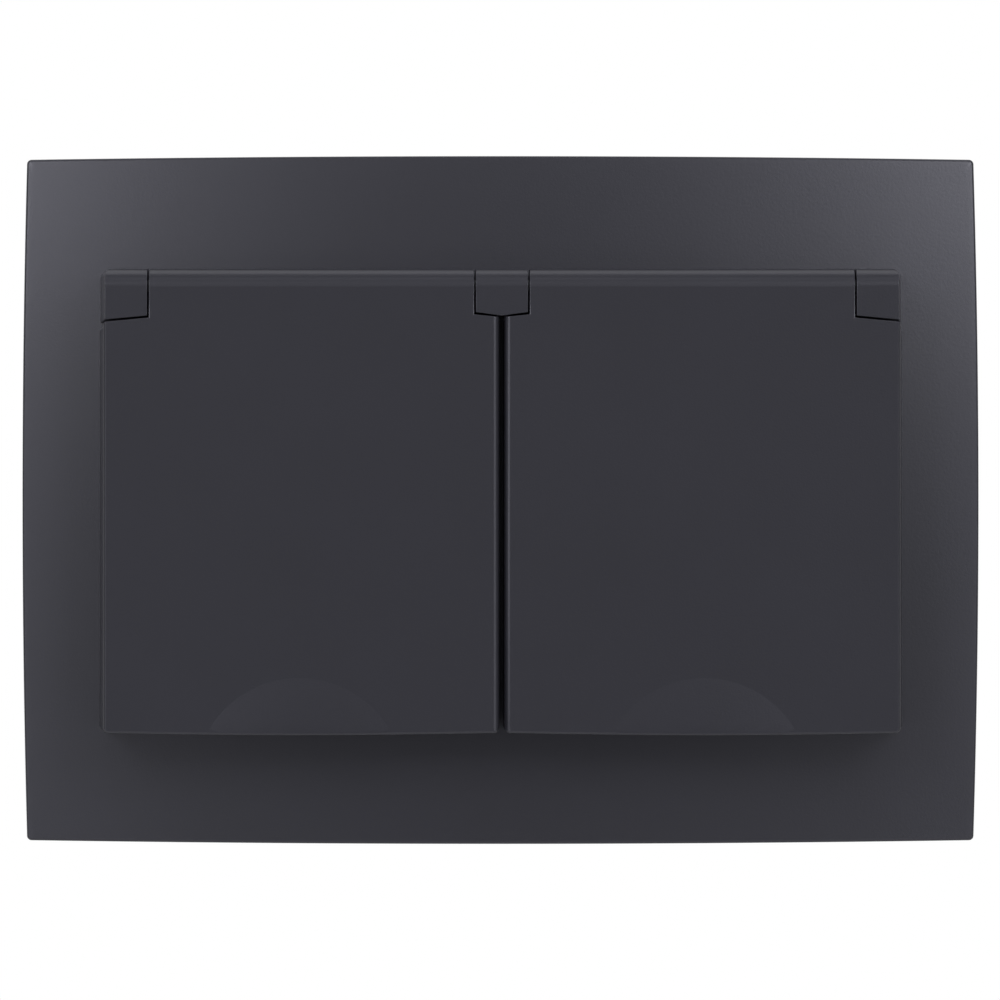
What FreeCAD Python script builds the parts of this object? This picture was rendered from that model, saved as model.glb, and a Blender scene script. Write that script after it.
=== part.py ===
import FreeCAD, Part
import math
import os
import re
import Sketcher

# Flush double socket for damp places: one crowned cover frame, two sprung splash lids side by
# side on a shared hinge carrier, and behind each lid an earthed socket insert on its own ring.
# X runs to the right, Y into the wall and Z up. The wall plane is y = 0, and a depth in the
# sheet is measured from it towards the front.

# Driving dimensions: name, millimetres or degrees, and what it is.
SIZES = [
    ("gang_pitch", 71.0, "distance between the two sockets"),
    ("frame_width", 170.0, "cover frame across its middle"),
    ("frame_height", 122.2, "cover frame upright through its middle"),
    ("frame_side_bow", 0.65, "outward bow of the left and right edges"),
    ("frame_top_bow", 0.45, "outward bow of the top and bottom edges"),
    ("frame_corner", 0.8, "corner rounding of the frame"),
    ("frame_crown", 11.0, "depth of the crowned face at its middle"),
    ("crown_radius_across", 860.0, "curvature of the crowned face from side to side"),
    ("crown_radius_upright", 564.0, "curvature of the crowned face from top to bottom"),
    ("frame_wall", 2.5, "wall of the cover frame"),
    ("window_half_width", 64.5, "half width of the opening in the frame"),
    ("window_top", 34.0, "top of the opening above the middle"),
    ("window_bottom", 35.5, "bottom of the opening below the middle"),
    ("wall_seal_thickness", 1.2, "rubber sheet between frame and wall"),
    ("wall_seal_inset", 1.2, "how far the sheet stays inside the frame's edge"),
    ("wall_seal_hole", 29.0, "half width of the holes in the sheet"),
    ("lid_front", 24.0, "depth of the lids' front face"),
    ("lid_top", 40.6, "top of the lids above the middle"),
    ("lid_bottom", 41.2, "bottom of the lids below the middle"),
    ("lid_bottom_bow", 0.35, "downward bow of a lid's bottom edge"),
    ("lid_inner", 0.45, "half of the gap between the two lids"),
    ("lid_outer", 69.8, "outer edge of a lid at the front"),
    ("lid_draft", 5.0, "draft of the lids' outer sides in degrees"),
    ("lid_wall", 2.2, "wall of a lid"),
    ("lid_corner", 0.85, "rounding of a lid's bottom corners"),
    ("lid_over_frame", 0.8, "gap between a lid's rim and the frame"),
    ("lid_over_carrier", 0.4, "gap between a lid's rim and the carrier plate"),
    ("lip_radius", 18.4, "outline radius of the finger lip"),
    ("lip_drop", 8.4, "centre of the finger lip below the lid's bottom edge"),
    ("lip_rise", 1.5, "how far the finger lip's dome stands out"),
    ("barrel_radius", 3.2, "outer radius of a lid's hinge barrel"),
    ("block_gap", 0.27, "gap between a barrel's end and a hinge block"),
    ("notch_gap", 0.25, "gap between a hinge block and the lid below it"),
    ("notch_past_middle", 1.0, "how far a lid's inner notch is cut past the middle"),
    ("middle_block", 4.59, "half width of the middle hinge block"),
    ("outer_block_start", 62.15, "inner side of an outer hinge block"),
    ("outer_block_end", 69.6, "outer side of an outer hinge block at the front"),
    ("block_corner", 1.3, "rounding of the outer blocks' top corners"),
    ("block_drop_edge", 4.5, "middle block's side corner below the hinge axis"),
    ("block_drop_near", 5.1, "outer block's inner corner below the hinge axis"),
    ("block_drop_far", 5.8, "outer block's outer corner below the hinge axis"),
    ("pin_radius", 1.25, "hinge pin"),
    ("pin_play", 0.06, "radial clearance of the pin in a lid's barrel"),
    ("pin_grip", 0.02, "radial clearance of the pin in a hinge block"),
    ("pin_sunk", 0.5, "how far a pin ends below the block's outer side"),
    ("pin_apart", 0.8, "half of the gap between the two pins"),
    ("spring_wire", 0.3, "radius of the spring wire"),
    ("spring_inner", 1.55, "inner radius of the lid spring's coil"),
    ("spring_outer", 2.15, "outer radius of the lid spring's coil"),
    ("spring_length", 11.4, "length of the lid spring's coil"),
    ("spring_air", 0.25, "clearance round the coil in the barrel's window"),
    ("spring_leg", 4.6, "length of the spring leg on the lid"),
    ("spring_leg_air", 0.2, "gap between the leg and the lid's inside"),
    ("spring_end_air", 0.05, "gap between the other leg and the carrier plate"),
    ("spring_window_low", 1.0, "how far the spring's window reaches below the barrel"),
    ("carrier_front", 12.0, "depth of the hinge carrier plate's front"),
    ("carrier_plate", 2.5, "thickness of the hinge carrier plate"),
    ("carrier_lap", 2.9, "how far the carrier plate lies over the frame beside the opening"),
    ("carrier_lap_below", 2.5, "how far the carrier plate lies over the frame below the opening"),
    ("carrier_below_top", 0.5, "top of the carrier plate below the lids' top"),
    ("carrier_fit", 0.3, "clearance of the carrier in the frame's opening"),
    ("ledge_bottom", 36.4, "underside of the rain ledge behind the barrels"),
    ("ledge_air", 0.4, "gap between the rain ledge and the barrels"),
    ("collar_inner", 28.2, "inner half width of the collar round a socket"),
    ("collar_cut", 2.5, "cut corners of what is square in front"),
    ("collar_wall", 2.0, "wall of the collar"),
    ("collar_front", 19.0, "depth of the collar's front edge"),
    ("cup_hole", 23.6, "half width of the hole for a socket cup"),
    ("lid_seal_air", 0.3, "gap between a closed lid's seal and the collar"),
    ("lid_seal_width", 2.2, "width of a lid's seal ring"),
    ("cup_seal_thickness", 0.8, "rubber ring under a cup's flange"),
    ("cup_seal_inset", 0.4, "how far that ring stays back from the hole for the cup"),
    ("cup_flange", 2.2, "thickness of a cup's flange"),
    ("cup_flange_air", 0.5, "gap between a cup's flange and the collar"),
    ("recess_radius", 19.75, "radius of the plug recess"),
    ("recess_depth", 17.5, "depth of the plug recess"),
    ("cup_wall", 2.0, "wall of a cup"),
    ("cup_cut", 12.7, "cut corners of a cup's outside"),
    ("cup_floor", 3.0, "floor of a cup"),
    ("pin_hole", 2.9, "radius of a plug pin's hole"),
    ("pin_spacing", 19.0, "distance between the two plug pins"),
    ("rib_half", 2.7, "half width of a guide rib in the recess"),
    ("rib_height", 1.9, "how far a guide rib stands into the recess"),
    ("rib_below", 3.0, "guide rib's end below the mouth of the recess"),
    ("earth_slot_half", 3.2, "half width of the slots for the earth arms"),
    ("earth_slot_start", 2.5, "slot's end below the face of the cup"),
    ("earth_slot_air", 0.3, "clearance of an earth arm's tip in its slot"),
    ("screw_radius", 1.5, "centre screw's shank"),
    ("screw_play", 0.2, "radial clearance of the centre screw in the cup"),
    ("screw_head", 3.05, "centre screw's head"),
    ("screw_head_height", 1.4, "height of that head"),
    ("screw_sunk", 0.1, "how far the head lies below the recess's floor"),
    ("screw_length", 7.5, "centre screw behind its head"),
    ("base_air", 0.5, "gap between insert base and hinge carrier"),
    ("base_front_half", 26.0, "half width of the insert base in front of the support ring"),
    ("base_back_half", 24.2, "half width of the insert base behind the support ring"),
    ("base_cut", 8.5, "cut corners of the insert base"),
    ("base_back", 27.0, "depth of the insert base behind the wall plane"),
    ("base_fit", 0.45, "clearance of a cup in its insert base"),
    ("ring_half", 35.3, "half width of a square support ring"),
    ("ring_thickness", 1.0, "sheet of the support ring"),
    ("ring_cut", 9.0, "cut corner of the support ring"),
    ("ring_play", 0.4, "clearance of the ring round the insert base"),
    ("box_screw_circle", 30.0, "box screws from the middle of a socket"),
    ("box_screw_hole", 1.9, "radius of the holes for box screws"),
    ("box_slot_sweep", 14.0, "half sweep of a curved slot in degrees"),
    ("strip", 0.8, "sheet of contacts and earth bracket"),
    ("arm_air", 0.25, "gap between a cup's wall and an earth arm"),
    ("arm_half", 2.5, "half width of the earth bracket"),
    ("arm_reach", 1.35, "how far an earth arm's tip stands into the recess"),
    ("arm_end", 1.0, "an earth arm's end below the front of its slot"),
    ("arm_bend", 4.0, "its innermost bend below the front of its slot"),
    ("arm_knee", 7.0, "its outer knee below the front of its slot"),
    ("arm_lead", 1.6, "how far its end leans back outwards"),
    ("arm_slant", 0.96, "its thickness across the innermost bend"),
    ("arm_room", 0.3, "clearance outside an earth arm in the insert base"),
    ("bracket_air", 0.3, "gap between a cup's floor and what lies under it"),
    ("bush_half", 2.6, "half width of the earth bracket's threaded square bush"),
    ("bush_length", 3.0, "length of that bush"),
    ("bush_air", 0.3, "clearance round the bush in the insert base"),
    ("bush_deep", 2.0, "room for the centre screw's end behind the bush"),
    ("fork_half", 3.0, "half width of a contact fork"),
    ("fork_gap", 2.2, "half of the gap between a fork's leaves"),
    ("fork_start", 8.0, "front ends of the fork's leaves behind the wall"),
    ("fork_flare", 0.9, "outward flare of the leaves' front ends"),
    ("fork_mouth", 1.0, "how far the flare starts before the leaves"),
    ("fork_neck", 1.5, "how far the flare runs into the leaves"),
    ("fork_back", 22.0, "bend of a contact behind the wall plane"),
    ("terminal_tab", 14.0, "terminal tab from the middle of a socket"),
    ("terminal_tab_start", 11.0, "front end of the terminal tabs"),
    ("chamber_half", 4.6, "half height of a contact chamber"),
    ("chamber_start", 5.2, "contact chamber from the middle of a socket"),
    ("chamber_air", 0.1, "gap behind a contact in its chamber"),
    ("thread_fit", 0.04, "radial clearance of a screw in its thread"),
    ("clamp_seat", 20.9, "back of a wire clamp from the middle of a socket"),
    ("clamp_reach", 5.6, "how far a wire clamp's tongue reaches from its back"),
    ("clamp_strip", 0.5, "spring sheet of the wire clamps"),
    ("clamp_half", 2.4, "half width of a wire clamp"),
    ("clamp_front", 12.5, "front end of the wire clamps behind the wall"),
    ("clamp_back", 21.5, "fold of the wire clamps behind the wall"),
    ("clamp_tip", 15.0, "tip of a clamp's tongue behind the wall"),
    ("earth_clamp_inset", 0.5, "how far the earth clamp stays inside its arm"),
    ("wire_half", 1.9, "half width of the wire holes in the insert base"),
]
SIZE_NAMES = {name for name, _, _ in SIZES}

# Places worked out from the sizes, as formulas for the sheet.
AXIS_DEPTH = "(lid_front - barrel_radius)"
AXIS_HEIGHT = "(lid_top - barrel_radius)"
SOCKET_X = "(gang_pitch / 2)"
INSIDE_LID = "(lid_front - lid_wall)"
BARREL_START = "(middle_block + block_gap)"
CARRIER_HALF = "(window_half_width + carrier_lap)"
CARRIER_LOW = "(window_bottom + carrier_lap_below)"
BARREL_END = "(outer_block_start - block_gap)"
LEDGE_FRONT = "(" + AXIS_DEPTH + " - barrel_radius - ledge_air)"
CARRIER_BACK = "(carrier_front - carrier_plate)"
FLANGE_BACK = "(carrier_front + cup_seal_thickness)"
CUP_FACE = "(" + FLANGE_BACK + " + cup_flange)"
CUP_FLOOR = "(recess_depth - " + CUP_FACE + ")"
CUP_BACK = "(" + CUP_FLOOR + " + cup_floor)"
CUP_OUTER = "(recess_radius + cup_wall)"
CUP_HALF = "(collar_inner - cup_flange_air)"
BASE_FRONT = "(" + CARRIER_BACK + " - base_air)"
RING_BACK = "wall_seal_thickness"
RING_FRONT = "(wall_seal_thickness + ring_thickness)"
ARM_INNER = "(" + CUP_OUTER + " + arm_air)"
BRACKET_FRONT = "(" + CUP_BACK + " + bracket_air + base_fit)"
BRACKET_BACK = "(" + BRACKET_FRONT + " + strip)"
LID_CORNER_LEVEL = "(-lid_bottom + lid_bottom_bow)"
SLOT_FRONT = "(" + CUP_FACE + " - earth_slot_start)"
OCTAGON = "tan(22.5)"

# How far a cutting shape reaches past a solid or right through it, and round a far axis.
PAST = "5"
BEYOND = "200"
SWING = "30"
# The outer blocks and the notches round them are drawn past the blocks' sloping sides.
PAST_BLOCK = "3"
BLOCK_REACH = "(outer_block_end + " + PAST_BLOCK + ")"

# How near an edge's end counts as on a level, and how long a depth edge is at least.
NEAR = 0.1
LONG = 5.0
SPRING_SIDES = 12

FRONT_VIEW = "XZ_Plane"
SIDE_VIEW = "YZ_Plane"
TOP_VIEW = "XY_Plane"
WORD = re.compile(r"[A-Za-z_][A-Za-z0-9_]*")

doc = FreeCAD.newDocument("double_socket")
sheet = doc.addObject("Spreadsheet::Sheet", "Sizes")
sub_parts = []


def fill_sheet():
    """Write each driving dimension into the sheet with its name as alias."""
    for row, (name, value, meaning) in enumerate(SIZES, start=1):
        sheet.set("A%d" % row, meaning)
        sheet.set("B%d" % row, str(value))
        sheet.setAlias("B%d" % row, name)
    doc.recompute()


def formula(text):
    """Turn the plain names of sizes into references to the sheet."""
    return WORD.sub(lambda m: "Sizes." + m.group() if m.group() in SIZE_NAMES else m.group(), text)


def number(text):
    """The present value of a formula."""
    return float(sheet.evalExpression(formula(text)))


def bind(thing, prop, text):
    """Tie a property to a formula."""
    thing.setExpression(prop, formula(text))


def new_body(name, across="0"):
    """An empty body, placed across the part by a formula."""
    body = doc.addObject("PartDesign::Body", name)
    body.Label = name
    bind(body, "Placement.Base.x", across)
    return body


def keep(thing, name):
    """Give a finished sub-part its label and put it on the list."""
    thing.Label = name
    sub_parts.append(thing)
    return thing


def sketch_on(body, role, lift="0"):
    """A sketch on one of the body's own origin planes, lifted along the plane's normal."""
    sketch = body.newObject("Sketcher::SketchObject", body.Name + "_sketch")
    plane = [item for item in body.Origin.OriginFeatures if item.Role == role][0]
    sketch.AttachmentSupport = [(plane, "")]
    sketch.MapMode = "FlatFace"
    bind(sketch, "AttachmentOffset.Base.z", lift)
    return sketch


def constrain(sketch, kind, places, text):
    """Add a driven constraint whose value is a formula."""
    index = sketch.addConstraint(Sketcher.Constraint(kind, *places, number(text)))
    bind(sketch, "Constraints[%d]" % index, text)


def arc_edge(start, end, radius):
    """An arc from start to end, which turns left when the radius is positive."""
    across, up = end[0] - start[0], end[1] - start[1]
    chord = math.hypot(across, up)
    away = math.sqrt(max(radius * radius - chord * chord / 4, 0.0)) * math.copysign(1, radius)
    centre = FreeCAD.Vector(
        (start[0] + end[0]) / 2 - up / chord * away,
        (start[1] + end[1]) / 2 + across / chord * away,
        0,
    )
    first, last = (start, end) if radius > 0 else (end, start)
    angles = [math.atan2(p[1] - centre.y, p[0] - centre.x) for p in (first, last)]
    circle = Part.Circle(centre, FreeCAD.Vector(0, 0, 1), abs(radius))
    return Part.ArcOfCircle(circle, angles[0], angles[1])


def outline(sketch, corners):
    """A closed outline through corners given as two formulas each.

    A third formula bends the edge that follows the corner into an arc of that radius, which
    turns left when it is positive and right when it is negative.
    """
    places = [(number(corner[0]), number(corner[1])) for corner in corners]
    edges = []
    for step, corner in enumerate(corners):
        start, end = places[step], places[(step + 1) % len(places)]
        if len(corner) == 2:
            line = Part.LineSegment(FreeCAD.Vector(*start, 0), FreeCAD.Vector(*end, 0))
            edges.append((sketch.addGeometry(line), 1, 2))
            continue
        radius = number(corner[2])
        edge = sketch.addGeometry(arc_edge(start, end, radius))
        edges.append((edge, 1, 2) if radius > 0 else (edge, 2, 1))
        constrain(sketch, "Radius", [edge], "abs(" + corner[2] + ")")
    for step, corner in enumerate(corners):
        edge, head, _ = edges[step]
        before, _, tail = edges[step - 1]
        sketch.addConstraint(Sketcher.Constraint("Coincident", before, tail, edge, head))
        constrain(sketch, "DistanceX", [-1, 1, edge, head], corner[0])
        constrain(sketch, "DistanceY", [-1, 1, edge, head], corner[1])


def circle(sketch, across, up, radius):
    """A full circle at a place given by formulas."""
    centre = FreeCAD.Vector(number(across), number(up), 0)
    edge = sketch.addGeometry(Part.Circle(centre, FreeCAD.Vector(0, 0, 1), number(radius)))
    constrain(sketch, "DistanceX", [-1, 1, edge, 3], across)
    constrain(sketch, "DistanceY", [-1, 1, edge, 3], up)
    constrain(sketch, "Radius", [edge], radius)


def box(sketch, low, high):
    """A rectangle between two corners given by formulas."""
    outline(sketch, [(low[0], low[1]), (high[0], low[1]), (high[0], high[1]), (low[0], high[1])])


def turning_line(sketch, up):
    """A construction line across the sketch, to turn a profile about."""
    height = number(up)
    line = Part.LineSegment(FreeCAD.Vector(-1, height, 0), FreeCAD.Vector(1, height, 0))
    edge = sketch.addGeometry(line, True)
    for end, place in ((1, "-1"), (2, "1")):
        constrain(sketch, "DistanceX", [-1, 1, edge, end], place)
        constrain(sketch, "DistanceY", [-1, 1, edge, end], up)


def volume_of(body):
    """The volume of a body so far."""
    return body.Tip.Shape.Volume if body.Tip else 0.0


def finish(feature, before, grows):
    """Recompute a feature and make sure that it added or removed material."""
    doc.recompute()
    change = feature.Shape.Volume - before
    if (change <= 1e-6) if grows else (change >= -1e-6):
        raise ValueError("%s changed the volume by %.6f" % (feature.Name, change))
    return feature


def extrude(kind, sketch, length, backwards, symmetric, taper):
    """A pad or a pocket from a sketch."""
    body = sketch.getParentGeoFeatureGroup()
    before = volume_of(body)
    feature = body.newObject("PartDesign::" + kind, body.Name + "_" + kind.lower())
    feature.Profile = sketch
    feature.Reversed = backwards
    feature.SideType = "Symmetric" if symmetric else "One side"
    bind(feature, "Length", length)
    bind(feature, "TaperAngle", taper)
    sketch.Visibility = False
    return finish(feature, before, kind == "Pad")


def pad(sketch, length, backwards=False, symmetric=False, taper="0"):
    """Add material along the sketch's normal."""
    return extrude("Pad", sketch, length, backwards, symmetric, taper)


def pocket(sketch, length, backwards=False, symmetric=False, taper="0"):
    """Remove material against the sketch's normal."""
    return extrude("Pocket", sketch, length, backwards, symmetric, taper)


def turn(kind, sketch, axis, angle="360", symmetric=False):
    """A revolution or a groove about one of the sketch's lines."""
    body = sketch.getParentGeoFeatureGroup()
    before = volume_of(body)
    feature = body.newObject("PartDesign::" + kind, body.Name + "_" + kind.lower())
    feature.Profile = sketch
    feature.ReferenceAxis = (sketch, [axis])
    feature.Midplane = symmetric
    bind(feature, "Angle", angle)
    sketch.Visibility = False
    return finish(feature, before, kind == "Revolution")


def fillet(body, radius, wanted):
    """Round the edges of a body that a test picks by their two ends."""
    names = []
    for place, edge in enumerate(body.Tip.Shape.Edges, start=1):
        ends = [vertex.Point for vertex in edge.Vertexes]
        if len(ends) == 2 and wanted(ends[0], ends[1]):
            names.append("Edge%d" % place)
    if not names:
        raise ValueError("no edge to round on " + body.Name)
    tip = body.Tip
    before = volume_of(body)
    feature = body.newObject("PartDesign::Fillet", body.Name + "_fillet")
    feature.Base = (tip, names)
    bind(feature, "Radius", radius)
    return finish(feature, before, False)


def bowed_outline(sketch, inset, corner=""):
    """The frame's four bowed edges, moved inwards, with rounded corners where a radius is given."""
    side = "(frame_width / 2 - frame_side_bow - (" + inset + "))"
    top = "(frame_height / 2 - frame_top_bow - (" + inset + "))"
    side_run = "(" + top + " - " + corner + ")" if corner else top
    top_run = "(" + side + " - " + corner + ")" if corner else side
    side_bend = "((" + side_run + "^2 + frame_side_bow^2) / (2 * frame_side_bow))"
    top_bend = "((" + top_run + "^2 + frame_top_bow^2) / (2 * frame_top_bow))"
    corners = []
    for across, up in (("-", "-"), ("", "-"), ("", ""), ("-", "")):
        level = (across + top_run, up + top)
        upright = (across + side, up + side_run)
        before, after = (upright, level) if across == up else (level, upright)
        bend = top_bend if across == up else side_bend
        if corner:
            corners.append((*before, corner))
        corners.append((*after, bend))
    outline(sketch, corners)


def crown_region(body, crown, above):
    """Remove what lies above, or below, the crowned face at a given depth in the middle.

    The face is an arc from side to side, swung about a far level line behind the wall.
    """
    reach = "(frame_width / 2 + " + PAST + ")"
    offset = "(" + crown + " - frame_crown)"
    across = "(crown_radius_across + " + offset + ")"
    rim = "-(" + crown + ") + " + across + " - sqrt(" + across + "^2 - " + reach + "^2)"
    far = "-" + BEYOND if above else BEYOND
    sketch = sketch_on(body, TOP_VIEW)
    turning_line(sketch, "crown_radius_upright - frame_crown")
    face = ("-" + reach, rim, across)
    outline(sketch, [face, (reach, rim), (reach, far), ("-" + reach, far)])
    return turn("Groove", sketch, "Axis0", SWING, symmetric=True)


def crowned_block(name, inset, lowered, start, corner):
    """A bowed block from a depth up to the crowned face, both moved inwards."""
    body = new_body(name)
    sketch = sketch_on(body, FRONT_VIEW, start)
    bowed_outline(sketch, inset, corner)
    pad(sketch, "frame_crown + " + PAST + " - (" + start + ")")
    crown_region(body, "frame_crown - (" + lowered + ")", above=True)
    return body


def cut_square(sketch, half, cut, across="0"):
    """A square with its corners cut off, centred on the level of the sockets."""
    short = "((" + half + ") - " + cut + ")"
    places = [("-" + short, "-1"), (short, "-1"), ("1", "-" + short), ("1", short)]
    places += [(short, "1"), ("-" + short, "1"), ("-1", short), ("-1", "-" + short)]
    full = {"1": "(" + half + ")", "-1": "-(" + half + ")"}
    outline(sketch, [(across + " + " + full.get(x, x), full.get(z, z)) for x, z in places])


def many_sided(sketch, across, up, radius, sides):
    """A regular outline with its corners on a circle."""
    corners = []
    for step in range(sides):
        angle = "%g" % (360 * step / sides)
        corners.append(
            (
                across + " + (" + radius + ") * cos(" + angle + ")",
                up + " + (" + radius + ") * sin(" + angle + ")",
            )
        )
    outline(sketch, corners)


def build_cover_frame():
    """The crowned frame: hollow behind, with one opening for both sockets."""
    outside = crowned_block("frame_outside", "0", "0", "wall_seal_thickness", "frame_corner")
    sketch = sketch_on(outside, FRONT_VIEW)
    box(sketch, ("-window_half_width", "-window_bottom"), ("window_half_width", "window_top"))
    pocket(sketch, BEYOND, symmetric=True)
    inside = crowned_block("frame_inside", "frame_wall", "frame_wall", "-" + PAST, "")
    frame = doc.addObject("Part::Cut", "cover_frame")
    frame.Base = outside
    frame.Tool = inside
    keep(frame, "cover_frame")


def build_wall_seal():
    """The rubber sheet behind the frame, with a hole for each insert."""
    body = keep(new_body("wall_seal"), "wall_seal")
    sketch = sketch_on(body, FRONT_VIEW)
    bowed_outline(sketch, "wall_seal_inset")
    cut_square(sketch, "wall_seal_hole", "base_cut", SOCKET_X)
    cut_square(sketch, "wall_seal_hole", "base_cut", "-" + SOCKET_X)
    pad(sketch, "wall_seal_thickness")


def far_block_drop():
    """An outer block's underside below the hinge axis, carried on to where its outline ends."""
    slope = "(block_drop_far - block_drop_near) / (outer_block_end - outer_block_start)"
    return "(block_drop_near + " + slope + " * (" + BLOCK_REACH + " - outer_block_start))"


def block_outlines(sketch):
    """The front outlines of the three hinge blocks, with their sloping undersides."""
    near_low = AXIS_HEIGHT + " - block_drop_near"
    far_low = AXIS_HEIGHT + " - " + far_block_drop()
    for sign in ("", "-"):
        outline(
            sketch,
            [
                (sign + "outer_block_start", "lid_top"),
                (sign + "outer_block_start", near_low),
                (sign + BLOCK_REACH, far_low),
                (sign + BLOCK_REACH, "lid_top"),
            ],
        )
    outline(
        sketch,
        [
            ("-middle_block", "lid_top"),
            ("-middle_block", AXIS_HEIGHT + " - block_drop_edge"),
            ("0", near_low),
            ("middle_block", AXIS_HEIGHT + " - block_drop_edge"),
            ("middle_block", "lid_top"),
        ],
    )


def draft_block_sides(body):
    """Slope the outer blocks' outer sides like the sides of the lids."""
    sketch = sketch_on(body, TOP_VIEW)
    slope = "tan(lid_draft) * lid_front"
    for sign in ("", "-"):
        outline(
            sketch,
            [
                (sign + "outer_block_end", "-lid_front"),
                (sign + "(outer_block_end + " + slope + ")", "0"),
                (sign + "(outer_block_end + " + BEYOND + ")", "0"),
                (sign + "(outer_block_end + " + BEYOND + ")", "-lid_front - " + PAST),
                (sign + "outer_block_end", "-lid_front - " + PAST),
            ],
        )
    pocket(sketch, BEYOND, symmetric=True)


def round_block_fronts(body):
    """Round the top front edge of the blocks about the hinge axis."""
    sketch = sketch_on(body, SIDE_VIEW)
    outline(
        sketch,
        [
            ("-lid_front", AXIS_HEIGHT, "-barrel_radius"),
            ("-" + AXIS_DEPTH, "lid_top"),
            ("-" + AXIS_DEPTH, "lid_top + " + PAST),
            ("-lid_front - " + PAST, "lid_top + " + PAST),
            ("-lid_front - " + PAST, AXIS_HEIGHT),
        ],
    )
    pocket(sketch, BEYOND, symmetric=True)


def build_hinge_carrier():
    """One moulding: hinge blocks, rain ledge, plate in the frame's opening and two collars."""
    body = keep(new_body("hinge_carrier"), "hinge_carrier")
    sketch = sketch_on(body, FRONT_VIEW)
    box(sketch, ("-" + CARRIER_HALF, "-" + CARRIER_LOW), (CARRIER_HALF, "lid_top - carrier_below_top"))
    pad(sketch, "carrier_front")
    sketch = sketch_on(body, FRONT_VIEW)
    box(sketch, ("-" + BLOCK_REACH, "ledge_bottom"), (BLOCK_REACH, "lid_top"))
    pad(sketch, LEDGE_FRONT)
    sketch = sketch_on(body, FRONT_VIEW)
    block_outlines(sketch)
    pad(sketch, "lid_front")
    draft_block_sides(body)
    top = number("lid_top") - NEAR
    side = number("outer_block_end") - NEAR
    fillet(
        body,
        "block_corner",
        lambda a, b: abs(a.y - b.y) > LONG
        and min(a.z, b.z) > top
        and min(abs(a.x), abs(b.x)) > side,
    )
    round_block_fronts(body)
    crown_region(body, "frame_crown", above=False)
    for add in (False, True):
        sketch = sketch_on(body, FRONT_VIEW, CARRIER_BACK)
        box(
            sketch,
            ("-(window_half_width - carrier_fit)", "-(window_bottom - carrier_fit)"),
            ("(window_half_width - carrier_fit)", "(window_top - carrier_fit)"),
        )
        if add:
            pad(sketch, "carrier_plate")
        else:
            pocket(sketch, BEYOND)
    for sign in ("", "-"):
        sketch = sketch_on(body, FRONT_VIEW, CARRIER_BACK)
        cut_square(sketch, "collar_inner + collar_wall", "collar_cut", sign + SOCKET_X)
        pad(sketch, "collar_front - " + CARRIER_BACK)
        sketch = sketch_on(body, FRONT_VIEW, "carrier_front")
        cut_square(sketch, "collar_inner", "collar_cut", sign + SOCKET_X)
        pocket(sketch, "collar_front", backwards=True)
        sketch = sketch_on(body, FRONT_VIEW)
        cut_square(sketch, "cup_hole", "base_cut", sign + SOCKET_X)
        pocket(sketch, BEYOND, symmetric=True)
    sketch = sketch_on(body, SIDE_VIEW)
    circle(sketch, "-" + AXIS_DEPTH, AXIS_HEIGHT, "pin_radius + pin_grip")
    pocket(sketch, BEYOND, symmetric=True)


def lid_section(body, level, front, inset):
    """A lid's level section with its drafted sides, from a depth back to the wall."""
    slope = "tan(lid_draft) * (" + front + " + " + PAST + ")"
    inner = "(lid_inner + " + inset + ")"
    outer = "(lid_outer - " + inset + ")"
    sketch = sketch_on(body, TOP_VIEW, level)
    outline(
        sketch,
        [
            (inner, "-" + front),
            (outer, "-" + front),
            (outer + " + " + slope, PAST),
            (inner, PAST),
        ],
    )
    return sketch


def lid_bottom_trim(body):
    """Cut away everything below a lid's bowed bottom edge."""
    half = "((lid_outer - lid_inner) / 2 - 2 * lid_corner)"
    middle = "((lid_outer + lid_inner) / 2)"
    bend = "((" + half + "^2 + lid_bottom_bow^2) / (2 * lid_bottom_bow))"
    low = "-lid_bottom - " + BEYOND
    sketch = sketch_on(body, FRONT_VIEW)
    outline(
        sketch,
        [
            ("-" + PAST, LID_CORNER_LEVEL),
            (middle + " - " + half, LID_CORNER_LEVEL, bend),
            (middle + " + " + half, LID_CORNER_LEVEL),
            ("lid_outer + " + PAST, LID_CORNER_LEVEL),
            ("lid_outer + " + PAST, low),
            ("-" + PAST, low),
        ],
    )
    pocket(sketch, BEYOND, symmetric=True)


def notch_radius(drop):
    """How far from the hinge axis a lid starts below a block's corner."""
    return "(sqrt((" + drop + ")^2 + barrel_radius^2) + notch_gap)"


def cut_lid_notches(body):
    """Clear the hinge blocks: a cone about the hinge axis in front, a straight cut behind."""
    near_radius, edge_radius = notch_radius("block_drop_near"), notch_radius("block_drop_edge")
    drops = [
        (BARREL_END, BLOCK_REACH, near_radius, notch_radius(far_block_drop())),
        (BARREL_START, "-notch_past_middle", edge_radius, near_radius),
    ]
    sketch = sketch_on(body, FRONT_VIEW, AXIS_DEPTH)
    turning_line(sketch, AXIS_HEIGHT)
    for near, away, start_radius, end_radius in drops:
        outline(
            sketch,
            [
                (near, AXIS_HEIGHT),
                (away, AXIS_HEIGHT),
                (away, AXIS_HEIGHT + " - " + end_radius),
                (near, AXIS_HEIGHT + " - " + start_radius),
            ],
        )
    turn("Groove", sketch, "Axis0")
    sketch = sketch_on(body, FRONT_VIEW, AXIS_DEPTH)
    for near, away, start_radius, end_radius in drops:
        outline(
            sketch,
            [
                (near, "lid_top + " + PAST),
                (away, "lid_top + " + PAST),
                (away, AXIS_HEIGHT + " - " + end_radius),
                (near, AXIS_HEIGHT + " - " + start_radius),
            ],
        )
    pocket(sketch, BEYOND)


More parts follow.
